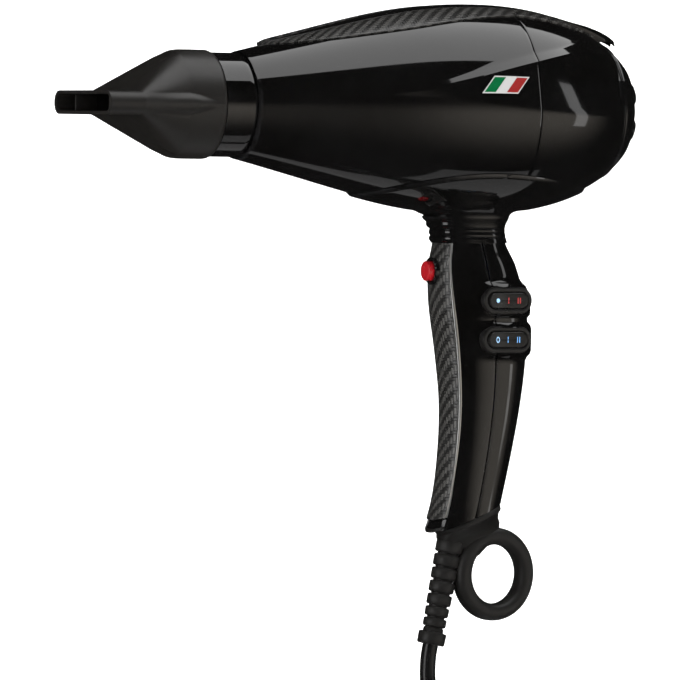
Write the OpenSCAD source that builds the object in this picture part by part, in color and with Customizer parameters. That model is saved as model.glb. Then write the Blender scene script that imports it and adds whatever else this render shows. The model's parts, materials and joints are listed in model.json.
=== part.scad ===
// Hand-held hair dryer: barrel along X with its outlet at -X, handle down -Z, switches at -Y.
// The origin is the middle of the grip, on the axis of the handle.

/* [Barrel] */
// Height of the barrel axis above the middle of the grip
axis_z = 141; // [130:1:160]
// Where the barrel begins, at the outlet end
nose_x = -124; // [-150:1:-118]
// Radius of the barrel at the outlet end
nose_r = 24.2; // [23.8:0.1:28]
// Where the barrel is widest
belly_x = -6.6; // [-12:0.2:0]
// Radius of the barrel where it is widest
belly_r = 46.4; // [45:0.1:56]
// Where the domed rear end closes
tail_x = 74; // [72:1:90]
// Joint between the front and the rear shell
seam_x = 6; // [2:1:10]
// Joint between the rear shell and the filter cover
cover_x = 55.4; // [53:0.2:58]
// Wall of the moulded shells
shell_wall = 2.4; // [1.8:0.1:3]
// How far the top trim stands proud of the shells
trim_proud = 1.2; // [0.8:0.1:1.8]
// Half angle of the gloss spine along the top
spine_angle = 12; // [8:1:16]
// Half angle of the whole top trim, spine and inlays
trim_angle = 34; // [28:1:40]

/* [Nozzle] */
// Inner radius of the air outlet collar
outlet_r = 20.2; // [18:0.1:20.6]
// Radius of the seat that the nozzle turns on
seat_r = 22.4; // [22.2:0.1:23.2]
// Length of that seat
seat_len = 17.3; // [14:0.1:20]
// Visible length of the collar behind the nozzle
collar_len = 15; // [10:0.5:22]
// Outer radius of the nozzle's ring
nozzle_r = 24.4; // [24.2:0.1:27]
// Length of the nozzle ahead of its ring
nozzle_reach = 42.2; // [35:0.2:60]
// Length of the flat mouth at the front of the nozzle
mouth_len = 16; // [8:1:20]
// Width of the nozzle's slot, outside
slot_w = 62.5; // [52:0.5:75]
// Height of the nozzle's slot, outside
slot_h = 10.6; // [9:0.2:14]
// Distance of the two vanes in the slot from its middle
vane_y = 18.5; // [8:0.5:22]
// Wall of the nozzle
nozzle_wall = 1.7; // [1.2:0.1:1.8]

/* [Handle] */
// Half depth of the handle at the middle of the grip, front to rear
grip_depth = 18; // [16:0.5:21]
// Half width of the handle at the middle of the grip, side to side
grip_width = 14.2; // [13:0.2:17]
// Slope of the handle's open lower end, in degrees
bottom_slope = 22; // [15:1:26]
// Half angle of the textured inlay on the front of the grip
inlay_angle = 37; // [30:1:42]

/* [Switches] */
// Height of the heat rocker above the middle of the grip
heat_z = 54.8; // [52:0.2:58]
// Height of the speed rocker above the middle of the grip
speed_z = 37.1; // [34:0.2:39]
// Place of both rockers along the barrel axis
switch_x = 2; // [0:0.5:4]
// Turn of both switches towards the rear, in degrees
switch_yaw = 8; // [0:1:12]
// Length of a rocker
rocker_len = 21.2; // [18:0.2:22]
// Height of a rocker
rocker_high = 7.2; // [6:0.2:8]
// Height of the cold-air button above the middle of the grip
button_z = 67.6; // [66:0.2:69]
// Radius of the cold-air button
button_r = 4.5; // [4:0.1:5]
// Travel of the cold-air button
button_travel = 3; // [2:0.5:3.5]

/* [Heater and motor] */
// Outer radius of the mica sleeve around the heater
sleeve_r = 26.5; // [24:0.1:26.8]
// Number of heating element rings
coil_rings = 7; // [4:1:9]
// Outer radius of the fan duct
duct_r = 34; // [32:0.2:34.4]
// Number of fan blades
fan_blades = 7; // [5:1:9]
// Radius of the motor shaft
shaft_r = 2; // [1.5:0.1:2.5]
// Radius of the armature
armature_r = 11.2; // [10:0.1:11.4]

/* [Cord] */
// Diameter of the mains cord
cord_d = 7.3; // [6.5:0.1:8]
// Radius at the middle of the coil's turns
coil_mid_r = 38; // [36:1:42]
// Mean radius of the hanging loop
loop_r = 17.3; // [15:0.1:20]
// Thickness of the hanging loop
loop_d = 7.8; // [6:0.2:9]
// Turn of the hanging loop away from the handle's middle plane, in degrees
loop_yaw = 14; // [0:1:20]

/* [Hidden] */

eps = 0.01;
gap = 0.3;           // between curved faces of different bodies
slip = 0.05;         // radial play of a shaft or trunnion in its hole
round_fn = 64;       // segments where a round face matters little

// ---- the barrel's outline: a curve to the widest point, then a domed tail
nose_lead = [nose_x + 60, nose_r + 14.4];
belly_lead = [belly_x - 40, belly_r];
tail_len = tail_x - belly_x;
tail_power = [0.95, 0.875];
function bezier(a, b, c, d, t) =
  pow(1 - t, 3) * a + 3 * t * pow(1 - t, 2) * b + 3 * t * t * (1 - t) * c + pow(t, 3) * d;
function tail_point(a) =
  [belly_x + tail_len * pow(sin(a), tail_power[0]), belly_r * pow(cos(a), tail_power[1])];
outline = concat(
  [for (i = [0:12]) bezier([nose_x, nose_r], nose_lead, belly_lead, [belly_x, belly_r], i / 12)],
  [for (a = [10:6:82]) tail_point(a)],
  [[tail_x, 0]]
);
function barrel_r(x) = lookup(x, outline);

// Outline points from x0 to x1, moved out by `out`, as [radius, x] for a turned profile
function skin(x0, x1, out) = concat(
  [[barrel_r(x0) + out, x0]],
  [for (p = outline) if (p[0] > x0 + 0.5 && p[0] < x1 - 0.5) [p[1] + out, p[0]]],
  [[barrel_r(x1) + out, x1]]
);
function reversed(list) = [for (i = [len(list) - 1:-1:0]) list[i]];
function band(x0, x1, outer, inner) = concat(skin(x0, x1, outer), reversed(skin(x0, x1, inner)));

// Turned about the barrel axis; a profile's Y is the place along the axis.
// Angles start at the top and grow towards the near side.
module turned(start = 0, angle = 360) {
  translate([0, 0, axis_z])
    rotate([0, 90, 0])
      rotate([0, 0, 180 + start])
        rotate_extrude(angle = angle, $fn = 96)
          children();
}
module ring(x0, x1, r_out, r_in) {
  turned()
    translate([r_in, x0])
      square([r_out - r_in, x1 - x0]);
}
module along_x(x0, x1, r) {
  translate([x0, 0, 0])
    rotate([0, 90, 0])
      cylinder(h = x1 - x0, r = r, $fn = round_fn);
}
module on_axis() {
  translate([0, 0, axis_z])
    children();
}
function ellipse(a, b, n = 36) = [for (i = [0:n - 1]) [a * cos(360 * i / n), b * sin(360 * i / n)]];

// ---- lofts: every ring has the same even number of points; a ladder of faces closes each end
function rung(i, n, at, turn) = turn
  ? [[at + i, at + i + 1, at + n - 2 - i], [at + i, at + n - 2 - i, at + n - 1 - i]]
  : [[at + i, at + n - 2 - i, at + i + 1], [at + i, at + n - 1 - i, at + n - 2 - i]];
function joined(lists) = [for (list = lists) for (item = list) item];
module loft(rings) {
  n = len(rings[0]);
  last = len(rings) - 1;
  sides = [
    for (k = [0:last - 1])
      for (i = [0:n - 1])
        let (a = k * n + i, b = k * n + (i + 1) % n)
          [[a, a + n, b + n], [a, b + n, b]]
  ];
  ends = [for (i = [0:n / 2 - 2]) concat(rung(i, n, 0, true), rung(i, n, last * n, false))];
  polyhedron(points = joined(rings), faces = concat(joined(sides), joined(ends)));
}

// ---- handle sections, bottom to top: [height, middle, half depth, half width]
stations = [
  [-58, -11.5, grip_depth - 1.2, grip_width - 0.6],
  [-38, -6, grip_depth - 2.2, grip_width - 1.2],
  [-15, -2, grip_depth - 1.2, grip_width - 0.8],
  [8, 0.3, grip_depth + 0.6, grip_width + 0.2],
  [30, 0.2, grip_depth + 2.8, grip_width + 1.8],
  [53, -2, grip_depth + 4, grip_width + 2.8],
  [70, -4.6, grip_depth + 2, grip_width + 1.4],
  [82.2, -6.7, grip_depth - 1.8, grip_width - 0.8],
  [92, -7.8, grip_depth - 0.2, grip_width]
];
handle_top = 82.2;
section_power = 2.4;
function spline(a, b, c, d, t) = 0.5 * (
  2 * b + (c - a) * t + (2 * a - 5 * b + 4 * c - d) * t * t + (3 * b - a - 3 * c + d) * pow(t, 3)
);
function station(t) =
  let (i = min(floor(t), len(stations) - 3))
    spline(stations[max(i - 1, 0)], stations[i], stations[i + 1], stations[i + 2], t - i);
function bulge(v) = sign(v) * pow(abs(v), 2 / section_power);
function section_point(s, a, out) =
  [s[1] + (s[2] + out) * bulge(cos(a)), (s[3] + out) * bulge(sin(a)), s[0]];
// The handle swells by mound_out around each switch, on the near side
mound_out = 2.6;
mound_angle = 300;
function eased(v) = let (t = max(0, min(1, v))) t * t * (3 - 2 * t);
function mound(z, a) =
  let (turn = min(abs(a - mound_angle), abs(a + 360 - mound_angle)))
    mound_out * eased((62 - turn) / 40)
      * max([for (c = [heat_z, speed_z]) eased((9.5 - abs(z - c)) / 4)]);
// Sections of a wall that runs over part of the handle's round, each a closed loop
function wall_rings(angles, outs, inner, steps) = [
  for (t = steps)
    let (s = station(t), n = len(angles))
      concat(
        [for (i = [0:n - 1]) section_point(s, angles[i], outs[i] + mound(s[0], angles[i]))],
        [for (i = [n - 1:-1:0]) section_point(s, angles[i], inner)]
      )
];
handle_steps = [for (i = [0:35]) i / 5];
inlay_sunk = 1.2;
trim_edge = inlay_angle + 4;
front_angles = concat(
  [90, 100, 110, 120, 130, 180 - trim_edge, 180 - trim_edge + 1],
  [for (i = [-3:3]) 180 + i * 10],
  [180 + trim_edge - 1, 180 + trim_edge, 230, 240, 250, 260, 270]
);
function front_out(a) = abs(a - 180) < trim_edge ? -inlay_sunk : 0;

// ---- barrel mouldings
saddle_mid = [-8.5, 0];
saddle_half = [57, 36];
saddle_top = 12;     // below the barrel axis
module saddle_column() {
  translate([saddle_mid[0], saddle_mid[1], axis_z - belly_r - 10])
    linear_extrude(height = belly_r + 10 - saddle_top)
      polygon(ellipse(saddle_half[0], saddle_half[1]));
}
spine_front = -112;
spine_rear = 51;
module trim_band(start, angle, x0, x1) {
  turned(start, angle)
    polygon(band(x0, x1, trim_proud, 0));
}
module front_shell() {
  color([0.03, 0.03, 0.035])
    difference() {
      union() {
        turned()
          polygon(band(nose_x, seam_x, 0, -shell_wall));
        ring(nose_x, nose_x + 3, nose_r - eps, collar_inner_r + gap / 3);
      }
      saddle_column();
    }
}
module rear_shell() {
  color([0.03, 0.03, 0.035])
    difference() {
      turned()
        polygon(band(seam_x, cover_x, 0, -shell_wall));
      saddle_column();
    }
}
module front_spine() {
  color([0.02, 0.02, 0.02])
    trim_band(-spine_angle, 2 * spine_angle, spine_front, seam_x);
}
module rear_spine() {
  color([0.02, 0.02, 0.02])
    trim_band(-spine_angle, 2 * spine_angle, seam_x, spine_rear);
}
module inlay(side, x0, x1) {
  start = side > 0 ? spine_angle : -trim_angle;
  color([0.16, 0.16, 0.17])
    trim_band(start, trim_angle - spine_angle, x0, x1);
}
module front_inlay_near() {
  inlay(1, spine_front, seam_x);
}
module front_inlay_far() {
  inlay(-1, spine_front, seam_x);
}
module rear_inlay_near() {
  inlay(1, seam_x, spine_rear);
}
module rear_inlay_far() {
  inlay(-1, seam_x, spine_rear);
}

// ---- neck: the saddle under the barrel and the throat down to the handle
neck_angles = [for (i = [0:31]) 5.625 + i * 11.25];
neck_sections = [
  [handle_top, -6.7, grip_depth - 1.8, grip_width - 0.8],
  [86, -7.2, grip_depth - 2, grip_width - 1],
  [89, -7.8, grip_depth - 1.2, grip_width - 0.4],
  [92, -8, grip_depth + 0.4, grip_width + 0.8]
];
passage_r = 10;
function under_barrel(p, sunk) =
  [p[0], p[1], axis_z - sqrt(pow(barrel_r(p[0]) - sunk, 2) - p[1] * p[1])];
module neck() {
  saddle_x0 = saddle_mid[0] - saddle_half[0];
  flare = [94, -8.5, grip_depth + 4, grip_width + 3.4];
  rings = concat(
    [for (s = neck_sections) [for (a = neck_angles) section_point(s, a, 0)]],
    [[for (a = neck_angles) under_barrel(section_point(flare, a, 0), shell_wall / 2)]]
  );
  color([0.03, 0.03, 0.035])
    difference() {
      union() {
        intersection() {
          turned()
            polygon(band(saddle_x0, saddle_x0 + 2 * saddle_half[0], 0, -shell_wall));
          saddle_column();
        }
        loft(rings);
      }
      translate([-7.5, 0, handle_top - 1])
        cylinder(h = 30, r = passage_r, $fn = round_fn);
    }
}

// ---- handle halves
bottom_mid = [-5, 0, -43];
module at_bottom() {
  translate(bottom_mid)
    rotate([0, -bottom_slope, 0])
      children();
}
module below_handle() {
  at_bottom()
    translate([-60, -60, -60])
      cube([120, 120, 60]);
}
bezel_long = rocker_len + 5.3;
bezel_high = rocker_high + 4.8;
bezel_y = -18.7;     // outer face of a switch bezel
bezel_thick = 3;
housing_wall = 1.3;
housing_deep = 13;
rocker_space = 0.3;
housing_long = rocker_len + 2 * (rocker_space + housing_wall);
housing_high = rocker_high + 2 * (rocker_space + housing_wall);
module at_switch(z) {
  translate([switch_x, 0, z])
    rotate([0, 0, switch_yaw])
      children();
}
module switch_cut(z) {
  fit = 0.15;
  at_switch(z) {
    translate([-bezel_long / 2 - fit, bezel_y - 10, -bezel_high / 2 - fit])
      cube([bezel_long + 2 * fit, 10 + bezel_thick, bezel_high + 2 * fit]);
    translate([-housing_long / 2 - fit, bezel_y - 10, -housing_high / 2 - fit])
      cube([housing_long + 2 * fit, 10 + housing_deep + 2, housing_high + 2 * fit]);
  }
}
bezel_ring_r = 6.2;
button_hole_r = bezel_ring_r + 0.1;
module handle_front() {
  outs = [for (a = front_angles) front_out(a)];
  color([0.03, 0.03, 0.035])
    difference() {
      union() {
        loft(wall_rings(front_angles, outs, -shell_wall, handle_steps));
        screw_boss(-17.5, -0.2);
      }
      screw_bores(-12);
      below_handle();
      switch_cut(heat_z);
      switch_cut(speed_z);
      translate([0, 0, button_z])
        along_x(-40, -10, button_hole_r);
    }
}
module handle_rear() {
  angles = [for (i = [-9:9]) i * 10];
  color([0.03, 0.03, 0.035])
    difference() {
      union() {
        loft(wall_rings(angles, [for (a = angles) 0], -shell_wall, handle_steps));
        screw_boss(0, 11);
        translate([switch_back_x + 0.1, -3, button_z - 3])
          cube([11, 6, 6]);
      }
      screw_bores(-1);
      below_handle();
      switch_cut(heat_z);
      switch_cut(speed_z);
    }
}
inlay_steps = [for (i = [3:35]) i / 5];
module grip_inlay() {
  half = inlay_angle - 0.2;
  angles = [for (i = [-6:6]) 180 + i * half / 6];
  color([0.14, 0.14, 0.15])
    difference() {
      loft(wall_rings(angles, [for (a = angles) 0.2], -inlay_sunk + 0.05, inlay_steps));
      below_handle();
      translate([0, 0, button_z])
        along_x(-40, -10, button_hole_r);
    }
}
module grip_trims() {
  color([0.75, 0.75, 0.77])
    for (side = [-1, 1])
      difference() {
        angles = [for (i = [0:2]) 180 + side * (inlay_angle + i * 1.3)];
        ordered = side > 0 ? angles : reversed(angles);
        loft(wall_rings(ordered, [for (a = angles) 0.5], -inlay_sunk + 0.05, inlay_steps));
        below_handle();
      }
}

// ---- air outlet
collar_inner_r = 21.7;
collar_r = 23.3;
collar_end = nose_x - collar_len;
seat_end = collar_end - seat_len;
collar_rear = nose_x + 20;
heater_front = collar_rear + 2;
module outlet_collar() {
  color([0.05, 0.05, 0.05])
    turned()
      polygon([
        [outlet_r, seat_end], [seat_r - 0.6, seat_end], [seat_r, seat_end + 0.6],
        [seat_r, collar_end], [collar_r, collar_end], [collar_r, nose_x],
        [collar_inner_r, nose_x], [collar_inner_r, collar_rear],
        [sleeve_r - 0.4, collar_rear], [sleeve_r - 0.4, heater_front - eps], [outlet_r, heater_front - eps]
      ]);
}
grille_x = seat_end + 2;
module outlet_grille() {
  rim_r = outlet_r - 0.05;
  bar = 1;
  color([0.5, 0.5, 0.52])
    union() {
      ring(grille_x, grille_x + 2.5, rim_r, rim_r - 1.4);
      ring(grille_x + 0.5, grille_x + 1.5, 12.6, 11.6);
      ring(grille_x + 0.5, grille_x + 1.5, 4.6, 2.4);
      on_axis()
        for (a = [0:45:315])
          rotate([a, 0, 0])
            translate([grille_x + 0.5, -bar / 2, 3.8])
              cube([1, bar, rim_r - 5]);
    }
}
module ion_needle() {
  color([0.8, 0.75, 0.6])
    on_axis() {
      along_x(grille_x - 2, grille_x + 10, 2.35);
      along_x(grille_x - 6, grille_x - 2, 0.6);
    }
}
snap_x = seat_end + 6;
module snap_ring() {
  color([0.7, 0.7, 0.72])
    turned(10, 340)
      translate([seat_r + 0.6, snap_x])
        circle(r = 0.55, $fn = 24);
}
nozzle_rear = collar_end - gap;
nozzle_mid = seat_end - 0.4;
nozzle_front = nozzle_mid - nozzle_reach;
function stadium(wide, high) = [
  for (side = [1, -1], i = [-6:6])
    [side * ((wide - high) / 2 + high / 2 * cos(15 * i)), side * high / 2 * sin(15 * i)]
];
module slot_slab(x0, x1, wide, high) {
  translate([x0, 0, axis_z])
    rotate([90, 0, 90])
      linear_extrude(height = x1 - x0)
        polygon(stadium(wide, high));
}
// A flat mouth that flares into the ring; `grow` moves the whole surface out
mouth_rear = nozzle_front + mouth_len;
module nozzle_body(grow, over) {
  wide = slot_w + 2 * grow;
  high = slot_h + 2 * grow;
  slot_slab(nozzle_front - over, mouth_rear, wide, high);
  hull() {
    slot_slab(mouth_rear - 0.5, mouth_rear, wide, high);
    on_axis()
      along_x(nozzle_mid - 1, nozzle_mid, nozzle_r + grow);
  }
}
// Side edges of the mouth run on as beams that fade into the ring
module nozzle_beams() {
  hull() {
    slot_slab(mouth_rear - 0.5, mouth_rear, slot_w, slot_h);
    slot_slab(nozzle_rear - 6, nozzle_rear - 4, 2 * nozzle_r - 0.4, slot_h);
  }
}
nozzle_bore_r = seat_r + slip;
module nozzle() {
  vane = 1.2;
  vane_deep = [4.6, 15];
  vane_high = slot_h - nozzle_wall;
  color([0.09, 0.085, 0.08])
    union() {
      difference() {
        union() {
          nozzle_body(0, 0);
          nozzle_beams();
          on_axis()
            along_x(nozzle_mid - 0.5, nozzle_rear, nozzle_r);
        }
        nozzle_body(-nozzle_wall, 1);
        on_axis() {
          along_x(nozzle_mid - 1.5, nozzle_mid + eps, nozzle_r - nozzle_wall - 0.4);
          along_x(nozzle_mid, nozzle_rear + 1, nozzle_bore_r);
        }
        ring(snap_x - 0.9, snap_x + 0.9, seat_r + 1.5, seat_r - 0.5);
      }
      for (side = [-1, 1])
        translate([nozzle_front + vane_deep[0], side * vane_y - vane / 2, axis_z - vane_high / 2])
          cube([vane_deep[1] - vane_deep[0], vane, vane_high]);
    }
}

// ---- rear filter cover
cover_wall = 2;
lip_r = barrel_r(cover_x) - shell_wall - 0.5;
mesh_x = cover_x + 1.2;
slot_rings = [[9, 12], [15, 18], [21, 24]];
module filter_cover() {
  start_x = cover_x + 0.2;
  dome_end = 73.2;
  color([0.03, 0.03, 0.035])
    difference() {
      union() {
        turned()
          polygon(concat(
            skin(start_x, dome_end, 0), [[0, dome_end], [0, dome_end - cover_wall]],
            reversed(skin(start_x, dome_end - cover_wall, -cover_wall))
          ));
        ring(cover_x - 5, start_x + 3, lip_r, lip_r - 1.5);
      }
      for (slot = slot_rings)
        difference() {
          ring(cover_x + 5, tail_x + 1, slot[1], slot[0]);
          on_axis()
            for (a = [0:60:300])
              rotate([a, 0, 0])
                translate([cover_x, -1.2, 0])
                  cube([30, 2.4, 40]);
        }
    }
}
module filter_mesh() {
  mesh_r = lip_r - 1.6;
  color([0.6, 0.6, 0.62])
    difference() {
      on_axis()
        along_x(mesh_x, mesh_x + 0.8, mesh_r);
      on_axis()
        for (r = [6:6:mesh_r - 3], k = [0:r - 1])
          rotate([k * 360 / r, 0, 0])
            translate([mesh_x - 1, 0, r])
              rotate([0, 90, 0])
                cylinder(h = 3, r = 1.8, $fn = 6);
    }
}

// ---- heater
sleeve_wall = 0.6;
heater_rear = -10;
module mica_sleeve() {
  color([0.75, 0.72, 0.62])
    ring(heater_front, heater_rear, sleeve_r, sleeve_r - sleeve_wall);
}
board_thick = 0.8;
board_half = sleeve_r - sleeve_wall - 0.3;
board_front = heater_front + 1;
board_rear = heater_rear - 9;
coil_wire_r = 1.6;
coil_r = board_half - 2.4;
coil_pitch = (board_rear - board_front - 20) / coil_rings;
function coil_x(i) = board_front + 12 + coil_pitch * i;
module board_blank() {
  notch = coil_wire_r + 0.1;
  difference() {
    translate([board_front, -board_thick / 2, -board_half])
      cube([board_rear - board_front, board_thick, 2 * board_half]);
    for (i = [0:coil_rings - 1], side = [-1, 1])
      translate([coil_x(i) - notch, -1, side * coil_r - notch * (side > 0 ? 1 : 3)])
        cube([2 * notch, 2, 4 * notch]);
  }
}
board_middle = (board_front + board_rear) / 2;
module board_slot(x0, x1) {
  translate([x0, -1, -board_thick / 2 - 0.05])
    cube([x1 - x0, 2, board_thick + 0.1]);
}
module mica_board_upright() {
  color([0.8, 0.77, 0.68])
    on_axis()
      difference() {
        board_blank();
        board_slot(board_middle, board_rear + 1);
      }
}
module mica_board_level() {
  color([0.8, 0.77, 0.68])
    on_axis()
      rotate([90, 0, 0])
        difference() {
          board_blank();
          board_slot(board_front - 1, board_middle);
        }
}
module heating_coils() {
  color([0.55, 0.5, 0.45])
    for (i = [0:coil_rings - 1])
      turned(8, 344)
        translate([coil_r, coil_x(i)])
          circle(r = coil_wire_r, $fn = 24);
}
thermostat_x = board_rear - 14;
module thermostat() {
  color([0.7, 0.6, 0.4])
    translate([thermostat_x, board_thick / 2 + 0.02, axis_z + 8])
      union() {
        cube([11, 3, 8]);
        translate([5.5, 3, 4])
          rotate([-90, 0, 0])
            cylinder(h = 2.5, r = 3.4, $fn = 32);
      }
}
module thermal_fuse() {
  color([0.85, 0.85, 0.85])
    translate([0, board_thick / 2 + 1.55, axis_z - 10]) {
      along_x(thermostat_x, thermostat_x + 10, 1.5);
      along_x(thermostat_x - 6, thermostat_x + 15, 0.4);
    }
}

// ---- duct, motor and fan
duct_wall = 1.6;
duct_rear = 45;
sleeve_seat = heater_rear - 6;
stator_half = 19;
stator_r = 25;
stator_x = [-4, 16];
module duct_fin(a, x0, x1) {
  fin_angle = 5;
  turned(a - fin_angle / 2, fin_angle)
    polygon(concat(
      skin(x0, x1, -shell_wall - 0.2), [[duct_r - 0.4, x1], [duct_r - 0.4, x0]]
    ));
}
module fan_duct() {
  color([0.2, 0.2, 0.22])
    union() {
      turned()
        polygon([
          [sleeve_r + 1.3, sleeve_seat], [sleeve_r + 1.3, heater_rear], [duct_r, heater_rear + 7],
          [duct_r, duct_rear], [duct_r - duct_wall, duct_rear], [duct_r - duct_wall, heater_rear + 7.7],
          [sleeve_r + 0.15, heater_rear + 0.6], [sleeve_r + 0.15, sleeve_seat]
        ]);
      for (a = [45, 135, 225, 315]) {
        duct_fin(a, -2, 4);
        duct_fin(a, 32, 42);
        on_axis()
          rotate([a, 0, 0])
            translate([stator_x[0] + 1, -1.25, stator_r + 0.05])
              cube([stator_x[1] - stator_x[0] - 2, 2.5, duct_r - duct_wall - stator_r + 0.4]);
      }
    }
}
fan_x = [33, 44];
fan_hub_r = 10;
fan_tip_r = duct_r - duct_wall - 0.8;
module fan() {
  blade_pitch = 38;
  color([0.85, 0.85, 0.82])
    on_axis()
      difference() {
        union() {
          along_x(fan_x[0], fan_x[1], fan_hub_r);
          intersection() {
            for (k = [0:fan_blades - 1])
              rotate([k * 360 / fan_blades, 0, 0])
                translate([(fan_x[0] + fan_x[1]) / 2, 0, fan_hub_r - 1])
                  rotate([0, 0, blade_pitch])
                    translate([-6.4, -0.8, 0])
                      cube([12.8, 1.6, fan_tip_r - fan_hub_r + 2]);
            along_x(fan_x[0], fan_x[1], fan_tip_r);
          }
        }
        along_x(fan_x[0] - 1, fan_x[1] + 1, shaft_r);
      }
}
coil_window = [armature_r + 0.9, armature_r + 6];
module stator() {
  color([0.5, 0.5, 0.52])
    on_axis()
      difference() {
        intersection() {
          translate([stator_x[0], -stator_half, -stator_half])
            cube([stator_x[1] - stator_x[0], 2 * stator_half, 2 * stator_half]);
          along_x(stator_x[0], stator_x[1], stator_r);
        }
        along_x(stator_x[0] - 1, stator_x[1] + 1, armature_r + 0.4);
        for (side = [-1, 1])
          translate([stator_x[0] - 1, -12.1, (coil_window[0] + coil_window[1]) / 2 * side])
            translate([0, 0, -(coil_window[1] - coil_window[0]) / 2])
              cube([stator_x[1] - stator_x[0] + 2, 24.2, coil_window[1] - coil_window[0]]);
      }
}
module field_coils() {
  color([0.7, 0.35, 0.15])
    on_axis()
      for (side = [-1, 1])
        translate([stator_x[0] - 5, -12, (coil_window[0] + coil_window[1]) / 2 * side - 2.4])
          cube([stator_x[1] - stator_x[0] + 6.5, 24, 4.8]);
}
module armature() {
  color([0.6, 0.4, 0.25])
    on_axis()
      difference() {
        union() {
          along_x(stator_x[0], stator_x[1], armature_r);
          along_x(stator_x[0] - 4, stator_x[1] + 1, armature_r - 1.9);
        }
        along_x(stator_x[0] - 5, stator_x[1] + 2, shaft_r);
        for (k = [0:11])
          rotate([k * 30, 0, 0])
            translate([stator_x[0] - 1, -0.5, armature_r - 1.5])
              cube([stator_x[1] - stator_x[0] + 2, 1, 3]);
      }
}
commutator_r = 7.5;
commutator_x = [stator_x[1] + 1.2, stator_x[1] + 9];
module commutator() {
  color([0.75, 0.45, 0.25])
    ring(commutator_x[0], commutator_x[1], commutator_r, shaft_r);
}
module motor_shaft() {
  color([0.75, 0.75, 0.77])
    on_axis()
      along_x(front_bearing_x - 3, fan_x[1] + 2, shaft_r);
}
bearing_r = 5;
bearing_len = 5;
front_bearing_x = stator_x[0] - 10;
rear_bearing_x = commutator_x[1] + 0.8;
module bracket(plate_x, foot_x, bearing_x) {
  plate = 1.6;
  leg_y = 14.8;
  on_axis()
    difference() {
      union() {
        translate([plate_x, -leg_y - plate, -6])
          cube([plate, 2 * (leg_y + plate), 12]);
        for (side = [-1, 1])
          translate([min(plate_x, foot_x), side * (leg_y + plate / 2) - plate / 2, -6])
            cube([abs(foot_x - plate_x) + (foot_x < plate_x ? plate : 0), plate, 12]);
        along_x(bearing_x, bearing_x + bearing_len, bearing_r + 2);
      }
      along_x(bearing_x - 1, bearing_x + bearing_len + 1, bearing_r);
    }
}
module front_bracket() {
  color([0.65, 0.65, 0.66])
    bracket(front_bearing_x + 1.5, stator_x[0], front_bearing_x);
}
brush_x = stator_x[1] + 3;
module rear_bracket() {
  plate_x = rear_bearing_x + 0.5;
  color([0.65, 0.65, 0.66])
    union() {
      bracket(plate_x, stator_x[1], rear_bearing_x);
      on_axis()
        for (side = [-1, 1])
          translate([0, 0, side * 13])
            difference() {
              translate([brush_x - 1, -4, -5])
                cube([plate_x + 1.6 - brush_x + 1, 8, 10]);
              translate([brush_x - 0.15, -2.15, -6])
                cube([4.3, 4.3, 12]);
            }
      on_axis()
        for (side = [-1, 1])
          translate([plate_x, -4, side > 0 ? bearing_r + 1 : -9])
            cube([1.6, 8, 3]);
    }
}
module bearings() {
  color([0.7, 0.6, 0.35])
    for (x = [front_bearing_x, rear_bearing_x])
      ring(x, x + bearing_len, bearing_r, shaft_r + slip);
}
module carbon_brushes() {
  color([0.1, 0.1, 0.1])
    on_axis()
      for (side = [-1, 1])
        translate([brush_x, -2, side > 0 ? commutator_r + gap : -commutator_r - gap - 8])
          cube([4, 4, 8]);
}

// ---- cold-air button: head through the bezel, flange behind it, stem into the micro switch
button_front = -28.6;
flange_x = -20.6;
switch_front_x = -11;
switch_back_x = 3;
stem_r = 1.6;
module at_button() {
  translate([0, 0, button_z])
    children();
}
module button_bezel() {
  color([0.03, 0.03, 0.03])
    at_button()
      difference() {
        union() {
          along_x(-26, flange_x - gap, bezel_ring_r);
          along_x(-23, flange_x - gap, bezel_ring_r + eps);
        }
        along_x(-30, flange_x + 1, button_r + slip);
      }
}
module cold_button() {
  color([0.8, 0.05, 0.05])
    at_button()
      union() {
        translate([button_front + 1.5, 0, 0])
          rotate([0, -90, 0])
            cylinder(h = 1.5, r1 = button_r, r2 = button_r - 1.2, $fn = round_fn);
        along_x(button_front + 1.5, flange_x, button_r);
        along_x(flange_x, flange_x + 1.4, button_r + 1.1);
        along_x(flange_x + 1.4, switch_front_x - 0.5 + button_travel, stem_r);
      }
}
spring_r = 3.2;
spring_wire = 0.35;
function helix(x0, x1, r, turns, steps) = [
  for (i = [0:steps])
    let (a = 360 * turns * i / steps)
      [x0 + (x1 - x0) * i / steps, r * cos(a), r * sin(a)]
];
module button_spring() {
  x0 = flange_x + 1.4 + spring_wire + 0.1;
  x1 = switch_front_x - spring_wire - 0.1;
  color([0.8, 0.8, 0.82])
    at_button()
      tube(helix(x0, x1, spring_r, 4, 64), spring_wire, 8);
}
module micro_switch() {
  well = stem_r + gap + 0.1;
  color([0.1, 0.1, 0.3])
    at_button()
      difference() {
        translate([switch_front_x, -4, -5])
          cube([switch_back_x - switch_front_x, 8, 10]);
        along_x(switch_front_x - 1, switch_front_x + button_travel + 4, well);
      }
}

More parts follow.
